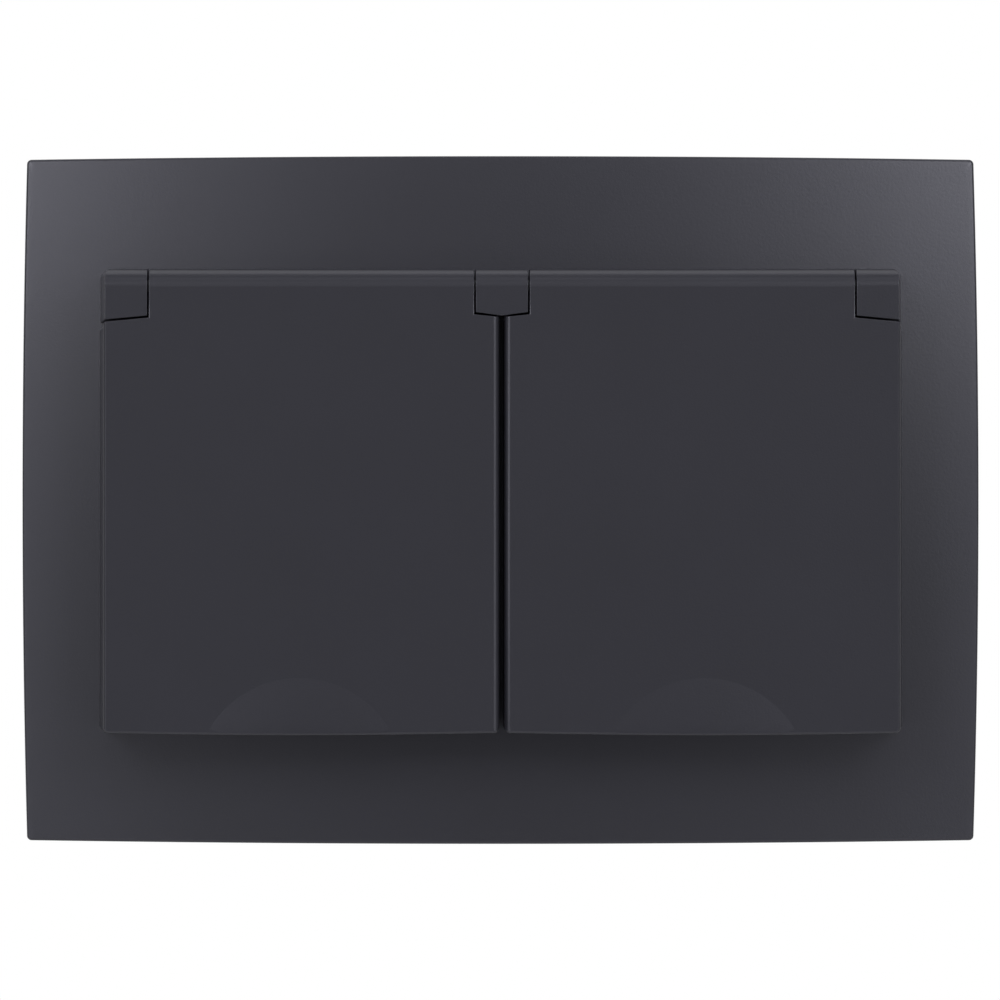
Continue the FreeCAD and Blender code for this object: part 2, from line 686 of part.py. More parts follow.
def add_finger_lip(body):
    """A shallow ball segment over the lower edge of the lid."""
    ball = "((lip_radius^2 + lip_rise^2) / (2 * lip_rise))"
    left = SOCKET_X + " - lip_radius"
    right = SOCKET_X + " + lip_radius"
    sketch = sketch_on(body, TOP_VIEW, "-(lid_bottom + lip_drop)")
    turning_line(sketch, ball + " - lid_front - lip_rise")
    outline(
        sketch,
        [
            (left, "-lid_front", ball),
            (right, "-lid_front"),
            (right, "-lid_front + lid_wall / 2"),
            (left, "-lid_front + lid_wall / 2"),
        ],
    )
    turn("Revolution", sketch, "Axis0", SWING, symmetric=True)


def hollow_lid(body):
    """Hollow the lid from behind and clear the frame's crown and the carrier plate."""
    top = "lid_top + " + PAST
    sketch = lid_section(body, top, INSIDE_LID, "lid_wall")
    pocket(sketch, top + " - " + LID_CORNER_LEVEL + " - lid_wall")
    crown_region(body, "frame_crown + lid_over_frame", above=False)
    sketch = sketch_on(body, FRONT_VIEW, "carrier_front + lid_over_carrier")
    box(
        sketch,
        ("-" + PAST, "-" + CARRIER_LOW + " - lid_over_carrier"),
        (CARRIER_HALF + " + lid_over_carrier", top),
    )
    pocket(sketch, BEYOND)


def add_barrel(body):
    """The hinge barrel with its bore and the window for the spring."""
    sketch = sketch_on(body, SIDE_VIEW, BARREL_START)
    circle(sketch, "-" + AXIS_DEPTH, AXIS_HEIGHT, "barrel_radius")
    pad(sketch, BARREL_END + " - " + BARREL_START)
    sketch = sketch_on(body, SIDE_VIEW)
    circle(sketch, "-" + AXIS_DEPTH, AXIS_HEIGHT, "pin_radius + pin_play")
    pocket(sketch, BEYOND, symmetric=True)
    half = "(spring_length / 2 + spring_air)"
    room = "(spring_outer + spring_air)"
    low = AXIS_HEIGHT + " - barrel_radius - spring_window_low"
    sketch = sketch_on(body, SIDE_VIEW, SOCKET_X)
    outline(
        sketch,
        [
            ("0", low),
            ("0", "lid_top + " + PAST),
            ("-" + AXIS_DEPTH, "lid_top + " + PAST),
            ("-" + AXIS_DEPTH, AXIS_HEIGHT + " + " + room),
            ("-" + INSIDE_LID, AXIS_HEIGHT + " + " + room),
            ("-" + AXIS_DEPTH + " - " + room, AXIS_HEIGHT + " + " + OCTAGON + " * " + room),
            ("-" + AXIS_DEPTH + " - " + room, AXIS_HEIGHT + " - " + OCTAGON + " * " + room),
            ("-" + INSIDE_LID, AXIS_HEIGHT + " - " + room),
            ("-" + INSIDE_LID, low),
        ],
    )
    pocket(sketch, "2 * " + half, symmetric=True)


def build_lids():
    """The right lid, and the left lid as its mirror image."""
    body = keep(new_body("right_lid"), "right_lid")
    sketch = lid_section(body, AXIS_HEIGHT, "lid_front", "0")
    pad(sketch, AXIS_HEIGHT + " + lid_bottom + " + PAST, backwards=True)
    add_finger_lip(body)
    lid_bottom_trim(body)
    low = number(LID_CORNER_LEVEL) + NEAR
    fillet(body, "lid_corner", lambda a, b: abs(a.y - b.y) > LONG and max(a.z, b.z) < low)
    hollow_lid(body)
    cut_lid_notches(body)
    add_barrel(body)
    left = doc.addObject("Part::Mirroring", "left_lid")
    left.Source = body
    left.Normal = FreeCAD.Vector(1, 0, 0)
    keep(left, "left_lid")


def build_hinge_pins():
    """A steel pin for each lid, pushed in from the outer side of its outer block."""
    length = "(outer_block_end - pin_sunk - pin_apart)"
    for name, start in (("left_hinge_pin", "-pin_apart - " + length), ("right_hinge_pin", "pin_apart")):
        pin = keep(doc.addObject("Part::Cylinder", name), name)
        bind(pin, "Radius", "pin_radius")
        bind(pin, "Height", length)
        pin.Placement.Rotation = FreeCAD.Rotation(FreeCAD.Vector(0, 1, 0), 90)
        bind(pin, "Placement.Base.x", start)
        bind(pin, "Placement.Base.y", "-" + AXIS_DEPTH)
        bind(pin, "Placement.Base.z", AXIS_HEIGHT)


def build_lid_springs():
    """A closing spring round each pin: its coil as a sleeve, one leg on the lid, one on the plate."""
    body = keep(new_body("right_lid_spring"), "right_lid_spring")
    start = SOCKET_X + " - spring_length / 2"
    sketch = sketch_on(body, SIDE_VIEW, start)
    many_sided(sketch, "-" + AXIS_DEPTH, AXIS_HEIGHT, "spring_outer", SPRING_SIDES)
    many_sided(sketch, "-" + AXIS_DEPTH, AXIS_HEIGHT, "spring_inner", SPRING_SIDES)
    pad(sketch, "spring_length")
    coil_middle = "((spring_outer + spring_inner) / 2)"
    sketch = sketch_on(body, TOP_VIEW, AXIS_HEIGHT + " - " + coil_middle)
    near = "-" + INSIDE_LID + " + spring_leg_air"
    box(sketch, (start, near), (start + " + 2 * spring_wire", near + " + 2 * spring_wire"))
    pad(sketch, "spring_leg", backwards=True)
    sketch = sketch_on(body, FRONT_VIEW, "carrier_front + spring_end_air")
    end = start + " + spring_length"
    low = AXIS_HEIGHT + " - " + coil_middle + " - spring_wire"
    box(sketch, (end + " - 2 * spring_wire", low), (end, low + " + 2 * spring_wire"))
    pad(sketch, AXIS_DEPTH + " - carrier_front - spring_end_air")
    left = doc.addObject("Part::Mirroring", "left_lid_spring")
    left.Source = body
    left.Normal = FreeCAD.Vector(1, 0, 0)
    keep(left, "left_lid_spring")


def build_lid_seal(side, across):
    """The soft ring inside a lid, which meets the collar's front edge."""
    body = keep(new_body(side + "_lid_seal", across), side + "_lid_seal")
    sketch = sketch_on(body, FRONT_VIEW, "collar_front + lid_seal_air")
    spare = "((lid_seal_width - collar_wall) / 2)"
    for add in (" + collar_wall + " + spare, " - " + spare):
        cut_square(sketch, "collar_inner" + add, "collar_cut")
    pad(sketch, INSIDE_LID + " - collar_front - lid_seal_air")


def build_cup_seal(side, across):
    """The flat ring between a cup's plate and the carrier plate."""
    body = keep(new_body(side + "_cup_seal", across), side + "_cup_seal")
    sketch = sketch_on(body, FRONT_VIEW, "carrier_front")
    cut_square(sketch, CUP_HALF, "collar_cut")
    cut_square(sketch, "cup_hole + cup_seal_inset", "base_cut")
    pad(sketch, "cup_seal_thickness")


def build_socket_cup(side, across):
    """The plug recess: square plate, cup, two pin holes, guide ribs and earth slots."""
    body = keep(new_body(side + "_socket_cup", across), side + "_socket_cup")
    sketch = sketch_on(body, FRONT_VIEW, FLANGE_BACK)
    cut_square(sketch, CUP_HALF, "collar_cut")
    pad(sketch, "cup_flange")
    sketch = sketch_on(body, FRONT_VIEW, FLANGE_BACK)
    cut_square(sketch, CUP_OUTER, "cup_cut")
    pad(sketch, FLANGE_BACK + " + " + CUP_BACK, backwards=True)
    sketch = sketch_on(body, FRONT_VIEW, CUP_FACE)
    circle(sketch, "0", "0", "recess_radius")
    pocket(sketch, "recess_depth")
    sketch = sketch_on(body, FRONT_VIEW, "-" + CUP_FLOOR)
    circle(sketch, "0", "0", "screw_head + screw_play")
    pocket(sketch, "screw_head_height + screw_sunk")
    sketch = sketch_on(body, FRONT_VIEW)
    circle(sketch, "0", "0", "screw_radius + screw_play")
    pocket(sketch, BEYOND, symmetric=True)
    sketch = sketch_on(body, FRONT_VIEW)
    circle(sketch, "pin_spacing / 2", "0", "pin_hole")
    circle(sketch, "-pin_spacing / 2", "0", "pin_hole")
    pocket(sketch, BEYOND, symmetric=True)
    sketch = sketch_on(body, FRONT_VIEW, "-" + CUP_FLOOR)
    for sign in ("", "-"):
        box(
            sketch,
            (sign + "(recess_radius - rib_height)", "-rib_half"),
            (sign + "(recess_radius + cup_wall / 2)", "rib_half"),
        )
    pad(sketch, "recess_depth - rib_below")
    sketch = sketch_on(body, FRONT_VIEW, SLOT_FRONT)
    for sign in ("", "-"):
        box(
            sketch,
            ("-earth_slot_half", sign + "(recess_radius - arm_reach - earth_slot_air)"),
            ("earth_slot_half", sign + "(" + CUP_OUTER + " + " + PAST + ")"),
        )
    pocket(sketch, BEYOND)


def build_centre_screw(side, across):
    """The cylinder head screw that draws the cup against its insert."""
    body = keep(new_body(side + "_centre_screw", across), side + "_centre_screw")
    top = "(" + CUP_FLOOR + " + screw_sunk)"
    under = "(" + top + " + screw_head_height)"
    sketch = sketch_on(body, TOP_VIEW)
    outline(
        sketch,
        [
            ("0", top),
            ("screw_head", top),
            ("screw_head", under),
            ("screw_radius", under),
            ("screw_radius", under + " + screw_length"),
            ("0", under + " + screw_length"),
        ],
    )
    turn("Revolution", sketch, "V_Axis")


def build_support_ring(side, across):
    """The sheet steel ring that the box screws hold to the wall."""
    body = keep(new_body(side + "_support_ring", across), side + "_support_ring")
    sketch = sketch_on(body, FRONT_VIEW, RING_BACK)
    cut_square(sketch, "ring_half", "ring_cut")
    cut_square(sketch, "(base_back_half + ring_play)", "base_cut")
    circle(sketch, "0", "box_screw_circle", "box_screw_hole")
    circle(sketch, "0", "-box_screw_circle", "box_screw_hole")
    for sign in ("", "-"):
        curved_slot(sketch, sign)
    pad(sketch, "ring_thickness")


def curved_slot(sketch, sign):
    """A slot for a box screw, curved about the socket's middle."""
    outer = "(box_screw_circle + box_screw_hole)"
    inner = "(box_screw_circle - box_screw_hole)"
    away = sign + outer + " * cos(box_slot_sweep)"
    near = sign + inner + " * cos(box_slot_sweep)"
    up_away = sign + outer + " * sin(box_slot_sweep)"
    up_near = sign + inner + " * sin(box_slot_sweep)"
    outline(
        sketch,
        [
            (away, "-(" + up_away + ")", outer),
            (away, up_away),
            (near, up_near, "-" + inner),
            (near, "-(" + up_near + ")"),
        ],
    )


def build_insert_base(side, across):
    """The moulded block that holds contacts and bracket, hollow in front for the cup."""
    body = keep(new_body(side + "_insert_base", across), side + "_insert_base")
    sketch = sketch_on(body, FRONT_VIEW, RING_FRONT)
    cut_square(sketch, "base_front_half", "base_cut")
    pad(sketch, BASE_FRONT + " - " + RING_FRONT)
    sketch = sketch_on(body, FRONT_VIEW, RING_FRONT)
    cut_square(sketch, "base_back_half", "base_cut")
    pad(sketch, RING_FRONT + " + base_back", backwards=True)
    sketch = sketch_on(body, FRONT_VIEW, BASE_FRONT)
    cut_square(sketch, CUP_OUTER + " + base_fit", "cup_cut")
    pocket(sketch, BASE_FRONT + " + " + CUP_BACK + " + base_fit")
    sketch = sketch_on(body, FRONT_VIEW, BASE_FRONT)
    reach = "(" + ARM_INNER + " + strip + arm_room)"
    box(sketch, ("-earth_slot_half", "-" + reach), ("earth_slot_half", reach))
    pocket(sketch, BASE_FRONT + " + " + BRACKET_BACK + " + chamber_air")
    sketch = sketch_on(body, FRONT_VIEW, BASE_FRONT)
    room = "(bush_half + bush_air)"
    box(sketch, ("-" + room, "-" + room), (room, room))
    pocket(sketch, BASE_FRONT + " + " + BRACKET_BACK + " + bush_length + bush_deep")
    for sign in ("", "-"):
        sketch = sketch_on(body, FRONT_VIEW, BASE_FRONT)
        box(
            sketch,
            (sign + "chamber_start", "-chamber_half"),
            (sign + "(clamp_seat + chamber_air)", "chamber_half"),
        )
        pocket(sketch, BASE_FRONT + " + fork_back + strip + chamber_air")
        sketch = sketch_on(body, FRONT_VIEW)
        wire = "(terminal_tab + strip + wire_half)"
        box(
            sketch,
            (sign + "(" + wire + " - wire_half)", "-wire_half"),
            (sign + "(" + wire + " + wire_half)", "wire_half"),
        )
        pocket(sketch, "base_back + " + PAST)
    sketch = sketch_on(body, FRONT_VIEW, "-" + BRACKET_BACK)
    low = "(" + ARM_INNER + " - clamp_reach - chamber_air - earth_clamp_inset)"
    box(sketch, ("-chamber_half", low), ("chamber_half", "base_back_half + " + PAST))
    pocket(sketch, "fork_back + strip + chamber_air - " + BRACKET_BACK)
    sketch = sketch_on(body, FRONT_VIEW)
    box(sketch, ("-wire_half", ARM_INNER + " - 2 * wire_half"), ("wire_half", ARM_INNER))
    pocket(sketch, "base_back + " + PAST)


def build_contact(name, across, sign):
    """A brass fork for one plug pin, bent over to its terminal tab."""
    body = keep(new_body(name, across), name)
    sketch = sketch_on(body, SIDE_VIEW, sign + "pin_spacing / 2")
    leaf = "(fork_gap + strip)"
    flare = "(fork_start - fork_mouth)"
    outline(
        sketch,
        [
            (flare, leaf + " + fork_flare"),
            ("fork_start + fork_neck", leaf),
            ("fork_back + strip", leaf),
            ("fork_back + strip", "-" + leaf),
            ("fork_start + fork_neck", "-" + leaf),
            (flare, "-(" + leaf + " + fork_flare)"),
            (flare, "-(fork_gap + fork_flare)"),
            ("fork_start + fork_neck", "-fork_gap"),
            ("fork_back", "-fork_gap"),
            ("fork_back", "fork_gap"),
            ("fork_start + fork_neck", "fork_gap"),
            (flare, "fork_gap + fork_flare"),
        ],
    )
    pad(sketch, "2 * fork_half", symmetric=True)
    sketch = sketch_on(body, TOP_VIEW)
    outline(
        sketch,
        [
            (sign + "(pin_spacing / 2)", "fork_back"),
            (sign + "terminal_tab", "fork_back"),
            (sign + "terminal_tab", "terminal_tab_start"),
            (sign + "(terminal_tab + strip)", "terminal_tab_start"),
            (sign + "(terminal_tab + strip)", "fork_back + strip"),
            (sign + "(pin_spacing / 2)", "fork_back + strip"),
        ],
    )
    pad(sketch, "2 * fork_half", symmetric=True)


def build_earth_bracket(side, across):
    """One bent strip: two sprung earth arms, a threaded bush and the earth terminal's tab."""
    body = keep(new_body(side + "_earth_bracket", across), side + "_earth_bracket")
    outer = "(" + ARM_INNER + " + strip)"
    tip = "(recess_radius - arm_reach)"
    knee = "-(" + SLOT_FRONT + " - arm_knee)"
    bend = "-(" + SLOT_FRONT + " - arm_bend)"
    end = "-(" + SLOT_FRONT + " - arm_end)"
    top = [
        (BRACKET_BACK, outer),
        (knee, outer),
        (bend, tip + " + arm_slant"),
        (end, tip + " + arm_lead + strip"),
        (end, tip + " + arm_lead"),
        (bend, tip),
        (knee, ARM_INNER),
        (BRACKET_FRONT, ARM_INNER),
    ]
    bottom = [(place[0], "-(" + place[1] + ")") for place in reversed(top)]
    sketch = sketch_on(body, SIDE_VIEW)
    outline(sketch, top + bottom)
    pad(sketch, "2 * arm_half", symmetric=True)
    sketch = sketch_on(body, FRONT_VIEW, "-" + BRACKET_FRONT)
    box(sketch, ("-bush_half", "-bush_half"), ("bush_half", "bush_half"))
    pad(sketch, "strip + bush_length", backwards=True)
    sketch = sketch_on(body, SIDE_VIEW)
    box(sketch, (BRACKET_FRONT, ARM_INNER), ("fork_back", outer))
    pad(sketch, "2 * arm_half", symmetric=True)
    sketch = sketch_on(body, FRONT_VIEW)
    circle(sketch, "0", "0", "screw_radius + thread_fit")
    pocket(sketch, BEYOND, symmetric=True)


def build_wire_clamps(side, across):
    """The three folded springs that hold the wires of one insert: line, neutral and earth."""
    up = "(" + ARM_INNER + " - clamp_reach - earth_clamp_inset)"
    turns = [
        ("line", "-clamp_seat", "0", 180),
        ("neutral", "clamp_seat", "0", 0),
        ("earth", "0", up, 90),
    ]
    clamps = []
    for role, out, height, angle in turns:
        clamp = new_body(side + "_" + role + "_clamp", across + " + " + out)
        clamp.Placement.Rotation = FreeCAD.Rotation(FreeCAD.Vector(0, 1, 0), angle)
        bind(clamp, "Placement.Base.z", height)
        sketch = sketch_on(clamp, TOP_VIEW)
        outline(
            sketch,
            [
                ("0", "clamp_front"),
                ("0", "clamp_back"),
                ("-clamp_strip", "clamp_back"),
                ("-clamp_reach", "clamp_tip"),
                ("-clamp_reach", "clamp_tip - clamp_strip"),
                ("-clamp_strip", "clamp_back - 2 * clamp_strip"),
                ("-clamp_strip", "clamp_front"),
            ],
        )
        pad(sketch, "2 * clamp_half", symmetric=True)
        clamps.append(clamp)
    group = doc.addObject("Part::Compound", side + "_wire_clamps")
    group.Links = clamps
    keep(group, side + "_wire_clamps")


def build_inserts():
    """Both socket inserts with their cups and seals."""
    for side, across in (("left", "-" + SOCKET_X), ("right", SOCKET_X)):
        build_lid_seal(side, across)
        build_cup_seal(side, across)
        build_socket_cup(side, across)
        build_centre_screw(side, across)
        build_support_ring(side, across)
        build_insert_base(side, across)
        build_contact(side + "_line_contact", across, "-")
        build_contact(side + "_neutral_contact", across, "")
        build_earth_bracket(side, across)
        build_wire_clamps(side, across)


def check_and_export():
    """Write every sub-part, after making sure that nothing failed."""
    doc.recompute()
    for thing in doc.Objects:
        if "Invalid" in thing.State or "Error" in thing.State:
            raise ValueError("%s is %s" % (thing.Name, thing.State))
    os.makedirs("parts", exist_ok=True)
    for thing in sub_parts:
        shape = thing.Shape
        if shape.isNull() or not shape.isValid() or shape.Volume <= 0:
            raise ValueError(thing.Label + " has no valid shape")
        shape.exportStep("parts/" + thing.Label + ".step")


fill_sheet()
build_cover_frame()
build_wall_seal()
build_hinge_carrier()
build_lids()
build_hinge_pins()
build_lid_springs()
build_inserts()
check_and_export()
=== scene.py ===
import logging
import math
from dataclasses import dataclass, field
from enum import Enum
from typing import Any, Callable, Sequence

import bmesh
import bpy
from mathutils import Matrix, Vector


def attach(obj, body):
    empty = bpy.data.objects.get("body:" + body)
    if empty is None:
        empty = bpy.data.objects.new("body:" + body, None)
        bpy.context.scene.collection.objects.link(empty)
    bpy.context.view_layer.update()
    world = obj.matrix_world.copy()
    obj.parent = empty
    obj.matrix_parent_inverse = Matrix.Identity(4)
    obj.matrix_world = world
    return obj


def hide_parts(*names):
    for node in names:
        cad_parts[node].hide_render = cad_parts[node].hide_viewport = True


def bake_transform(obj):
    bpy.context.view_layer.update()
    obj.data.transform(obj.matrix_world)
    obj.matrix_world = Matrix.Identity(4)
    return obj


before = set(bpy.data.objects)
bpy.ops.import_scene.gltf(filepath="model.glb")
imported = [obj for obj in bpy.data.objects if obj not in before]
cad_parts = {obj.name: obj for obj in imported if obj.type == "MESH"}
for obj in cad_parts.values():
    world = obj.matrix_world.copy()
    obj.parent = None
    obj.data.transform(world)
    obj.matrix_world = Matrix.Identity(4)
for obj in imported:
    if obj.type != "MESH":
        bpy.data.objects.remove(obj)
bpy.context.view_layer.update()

# Lengths are written in millimetres and angles in degrees.
MM = 0.001
WHOLE = "mounted"
# The middle of a socket from the middle of the frame.
SOCKET_X = 35.5
# The rounding that a bevel weight of 1 stands for.
WIDEST_ROUNDING = 1.0
# Faces that turn less than this are joined, and edges that turn more than that are rounded.
FLAT_TURN = 0.3
SHARP_TURN = 30.0
# How near two points of a solid, or of a finished mesh, are when they are one.
JOIN = 0.001
WELD = 0.0005
# Places of a Mix node's colour sockets, whose names its number sockets have too.
COLOUR_A, COLOUR_B, COLOUR_OUT = 6, 7, 2

EdgeTest = Callable[[bmesh.types.BMEdge], bool]
EdgeWidth = Callable[[bmesh.types.BMEdge], float]
MeshChange = Callable[[bmesh.types.BMesh], None]

log = logging.getLogger("double_socket")


class Side(Enum):
    """The two halves of the socket, seen from the room."""

    LEFT = "left"
    RIGHT = "right"

    @property
    def sign(self) -> int:
        """Minus one on the left, one on the right."""
        return -1 if self is Side.LEFT else 1

    @property
    def lid_body(self) -> str:
        """The body that this side's lid moves with."""
        return self.value + "_lid_body"


# Finishes


def linear_colour(code: str) -> tuple[float, float, float, float]:
    """Turn an sRGB hex colour into the linear values that a shader takes.

    Args:
        code: The colour, such as #38383D.

    Returns:
        Red, green, blue and full opacity.
    """
    shades = [int(code[place : place + 2], 16) / 255 for place in (1, 3, 5)]
    linear = [s / 12.92 if s <= 0.04045 else ((s + 0.055) / 1.055) ** 2.4 for s in shades]
    return (*linear, 1.0)


def add_node(
    tree: bpy.types.NodeTree,
    kind: str,
    settings: dict[str, Any] | None = None,
    values: dict[Any, Any] | None = None,
    links: dict[Any, bpy.types.NodeSocket] | None = None,
) -> bpy.types.Node:
    """Add a node with its settings, socket values and incoming links.

    Args:
        tree: The tree that gets the node.
        kind: The node's type.
        settings: The node's own properties by name.
        values: Socket values by name or place.
        links: What feeds each input, by name or place.

    Returns:
        The new node.
    """
    node = tree.nodes.new(kind)
    for name, value in (settings or {}).items():
        setattr(node, name, value)
    for socket, value in (values or {}).items():
        node.inputs[socket].default_value = value
    for socket, source in (links or {}).items():
        tree.links.new(source, node.inputs[socket])
    return node


def empty_material(name: str) -> bpy.types.Material:
    """Start a material with an empty tree.

    Args:
        name: The material's name.

    Returns:
        The new material.
    """
    material = bpy.data.materials.new(name)
    material.use_nodes = True
    material.node_tree.nodes.clear()
    return material


def per_millimetre(size: float) -> float:
    """The scale of a texture whose marks are a size in millimetres apart."""
    return 1 / (size * MM)


@dataclass(frozen=True)
class MouldedPlastic:
    """A moulded plastic or rubber: one soft gloss, a fine eroded grain and faint clouding.

    The grain and the clouds are as wide as their values say in millimetres, and the gloss
    varies with the grain by the mottle.
    """

    name: str
    colour: str
    clouded: str
    roughness: float
    specular: float
    grain: float
    grain_height: float
    cloud: float = 22.0
    sheen: str = "#FFFFFF"
    mottle: float = 0.03

    def material(self) -> bpy.types.Material:
        """Build the material, or find it where it has been built.

        Returns:
            The material that every piece of this finish shares.
        """
        if self.name in bpy.data.materials:
            return bpy.data.materials[self.name]
        material = empty_material(self.name)
        tree = material.node_tree
        place = add_node(tree, "ShaderNodeTexCoord").outputs["Object"]
        clouds = add_node(
            tree,
            "ShaderNodeTexNoise",
            values={"Scale": per_millimetre(self.cloud), "Detail": 2.0},
            links={"Vector": place},
        )
        grain = add_node(
            tree,
            "ShaderNodeTexNoise",
            values={"Scale": per_millimetre(self.grain), "Detail": 1.5, "Roughness": 0.6},
            links={"Vector": place},
        )
        tint = add_node(
            tree,
            "ShaderNodeMix",
            settings={"data_type": "RGBA"},
            values={
                COLOUR_A: linear_colour(self.colour),
                COLOUR_B: linear_colour(self.clouded),
            },
            links={"Factor": clouds.outputs["Fac"]},
        )
        gloss = add_node(
            tree,
            "ShaderNodeMapRange",
            values={
                "To Min": self.roughness - self.mottle,
                "To Max": self.roughness + self.mottle,
            },
            links={"Value": grain.outputs["Fac"]},
        )
        bump = add_node(
            tree,
            "ShaderNodeBump",
            values={"Strength": 1.0, "Distance": self.grain_height * MM},
            links={"Height": grain.outputs["Fac"]},
        )
        shader = add_node(
            tree,
            "ShaderNodeBsdfPrincipled",
            values={
                "Specular IOR Level": self.specular,
                "Specular Tint": linear_colour(self.sheen),
                "IOR": 1.5,
            },
            links={
                "Base Color": tint.outputs[COLOUR_OUT],
                "Roughness": gloss.outputs["Result"],
                "Normal": bump.outputs["Normal"],
            },
        )
        add_node(tree, "ShaderNodeOutputMaterial", links={"Surface": shader.outputs["BSDF"]})
        return material


@dataclass(frozen=True)
class SheetMetal:
    """A rolled, drawn or plated metal: fine lines along one direction and soft spangle.

    The lines are as wide as their value says in millimetres and long where the stretch is
    small. The gloss varies with them between shinier and duller, and a spangle is as many
    lines wide as its value says.
    """

    name: str
    colour: str
    worn: str
    roughness: float
    line: float
    stretch: tuple[float, float, float]
    line_height: float
    shinier: float = 0.06
    duller: float = 0.08
    spangle: float = 8.0

    def material(self) -> bpy.types.Material:
        """Build the material, or find it where it has been built.

        Returns:
            The material that every piece of this finish shares.
        """
        if self.name in bpy.data.materials:
            return bpy.data.materials[self.name]
        material = empty_material(self.name)
        tree = material.node_tree
        place = add_node(tree, "ShaderNodeTexCoord").outputs["Object"]
        drawn = add_node(
            tree, "ShaderNodeMapping", values={"Scale": self.stretch}, links={"Vector": place}
        )
        lines = add_node(
            tree,
            "ShaderNodeTexNoise",
            values={"Scale": per_millimetre(self.line), "Detail": 2.0},
            links={"Vector": drawn.outputs["Vector"]},
        )
        spangles = add_node(
            tree,
            "ShaderNodeTexVoronoi",
            values={"Scale": per_millimetre(self.line * self.spangle)},
            links={"Vector": place},
        )
        tint = add_node(
            tree,
            "ShaderNodeMix",
            settings={"data_type": "RGBA"},
            values={
                COLOUR_A: linear_colour(self.colour),
                COLOUR_B: linear_colour(self.worn),
            },
            links={"Factor": spangles.outputs["Distance"]},
        )
        gloss = add_node(
            tree,
            "ShaderNodeMapRange",
            values={
                "To Min": self.roughness - self.shinier,
                "To Max": self.roughness + self.duller,
            },
            links={"Value": lines.outputs["Fac"]},
        )
        bump = add_node(
            tree,
            "ShaderNodeBump",
            values={"Strength": 1.0, "Distance": self.line_height * MM},
            links={"Height": lines.outputs["Fac"]},
        )
        shader = add_node(
            tree,
            "ShaderNodeBsdfPrincipled",
            values={"Metallic": 1.0},
            links={
                "Base Color": tint.outputs[COLOUR_OUT],
                "Roughness": gloss.outputs["Result"],
                "Normal": bump.outputs["Normal"],
            },
        )
        add_node(tree, "ShaderNodeOutputMaterial", links={"Surface": shader.outputs["BSDF"]})
        return material


# Polycarbonate with a matt anthracite lacquer: an even grey-black with a broad, dull sheen.
# The grain is drawn at 0.4 mm, coarser than the real one, so that it shows.
LACQUER = MouldedPlastic(
    "anthracite_lacquer", "#1D1D22", "#202026", 0.33, 0.5, 0.4, 0.013, sheen="#F2F2FF"
)
# The cup is moulded through and not lacquered: a little darker and duller.
CUP_PLASTIC = MouldedPlastic("anthracite_moulding", "#222226", "#26262A", 0.5, 0.35, 0.5, 0.006)
# Black nitrile rubber with a dusty bloom.
RUBBER = MouldedPlastic("black_rubber", "#131314", "#1B1B1C", 0.78, 0.25, 0.4, 0.01, 9.0)
# Glass-filled phenolic of the insert: mid grey with a mottled skin.
PRESSED_GREY = MouldedPlastic("grey_moulding", "#7C7E80", "#8A8C8D", 0.55, 0.4, 0.6, 0.01, 6.0)
# Zinc on sheet steel: pale, with soft spangle.
ZINC = SheetMetal("zinc_sheet", "#B9BCC0", "#9EA1A6", 0.38, 0.5, (1.0, 1.0, 1.0), 0.002)
# Dark passivated steel of the hinge pins, which hardly shows between lid and block.
PIN_STEEL = SheetMetal("pin_steel", "#5A5C60", "#4E5054", 0.42, 0.2, (0.08, 1.0, 1.0), 0.0015)
# Bright drawn steel of springs, clamps and screws.
STEEL = SheetMetal("bright_steel", "#C3C5C8", "#B2B4B8", 0.26, 0.2, (0.08, 1.0, 1.0), 0.0015)
# Rolled brass strip of the contacts.
BRASS = SheetMetal("contact_brass", "#D3B36E", "#C0A05E", 0.3, 0.2, (1.0, 1.0, 0.1), 0.0015)


# Meshes


def new_piece(name: str, mesh: bpy.types.Mesh) -> bpy.types.Object:
    """Put a mesh into the scene as an object at the origin.

    Args:
        name: The object's name.
        mesh: Its mesh.

    Returns:
        The new object.
    """
    piece = bpy.data.objects.new(name, mesh)
    bpy.context.scene.collection.objects.link(piece)
    return piece


def bake_modifiers(piece: bpy.types.Object) -> None:
    """Turn a piece and its modifiers into a plain mesh.

    Args:
        piece: The object, which has no modifier left afterwards.
    """
    graph = bpy.context.evaluated_depsgraph_get()
    mesh = bpy.data.meshes.new_from_object(piece.evaluated_get(graph))
    old = piece.data
    piece.modifiers.clear()
    piece.data = mesh
    bpy.data.meshes.remove(old)


def report(piece: bpy.types.Object) -> None:
    """Log a finished piece and how many faces it has."""
    log.info("%s: %d faces", piece.name, len(piece.data.polygons))


def dress(
    piece: bpy.types.Object,
    finish: MouldedPlastic | SheetMetal,
    body: str,
    stands_for: Sequence[str],
) -> None:
    """Give a finished piece its material and body, hide the CAD nodes that it replaces, and log
    it.

    Args:
        piece: The finished object.
        finish: What it is made of.
        body: The body that it moves with.
        stands_for: The CAD nodes that it replaces.
    """
    piece.data.materials.clear()
    piece.data.materials.append(finish.material())
    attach(piece, body)
    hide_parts(*stands_for)
    report(piece)


def weigh_normals(
    piece: bpy.types.Object, crease: float, crisp: EdgeTest | None = None
) -> None:
    """Shade a piece smoothly with flat faces kept flat and real creases kept crisp.

    Args:
        piece: The object.
        crease: The turn above which an edge stays sharp.
        crisp: A test on an edge that marks further edges sharp.
    """
    piece.data.polygons.foreach_set("use_smooth", [True] * len(piece.data.polygons))
    piece.data.set_sharp_from_angle(angle=math.radians(crease))
    if crisp is not None:
        work = bmesh.new()
        work.from_mesh(piece.data)
        for edge in work.edges:
            if crisp(edge):
                edge.smooth = False
        work.to_mesh(piece.data)
        work.free()
    normals = piece.modifiers.new("normals", "WEIGHTED_NORMAL")
    normals.keep_sharp = True
    bake_modifiers(piece)


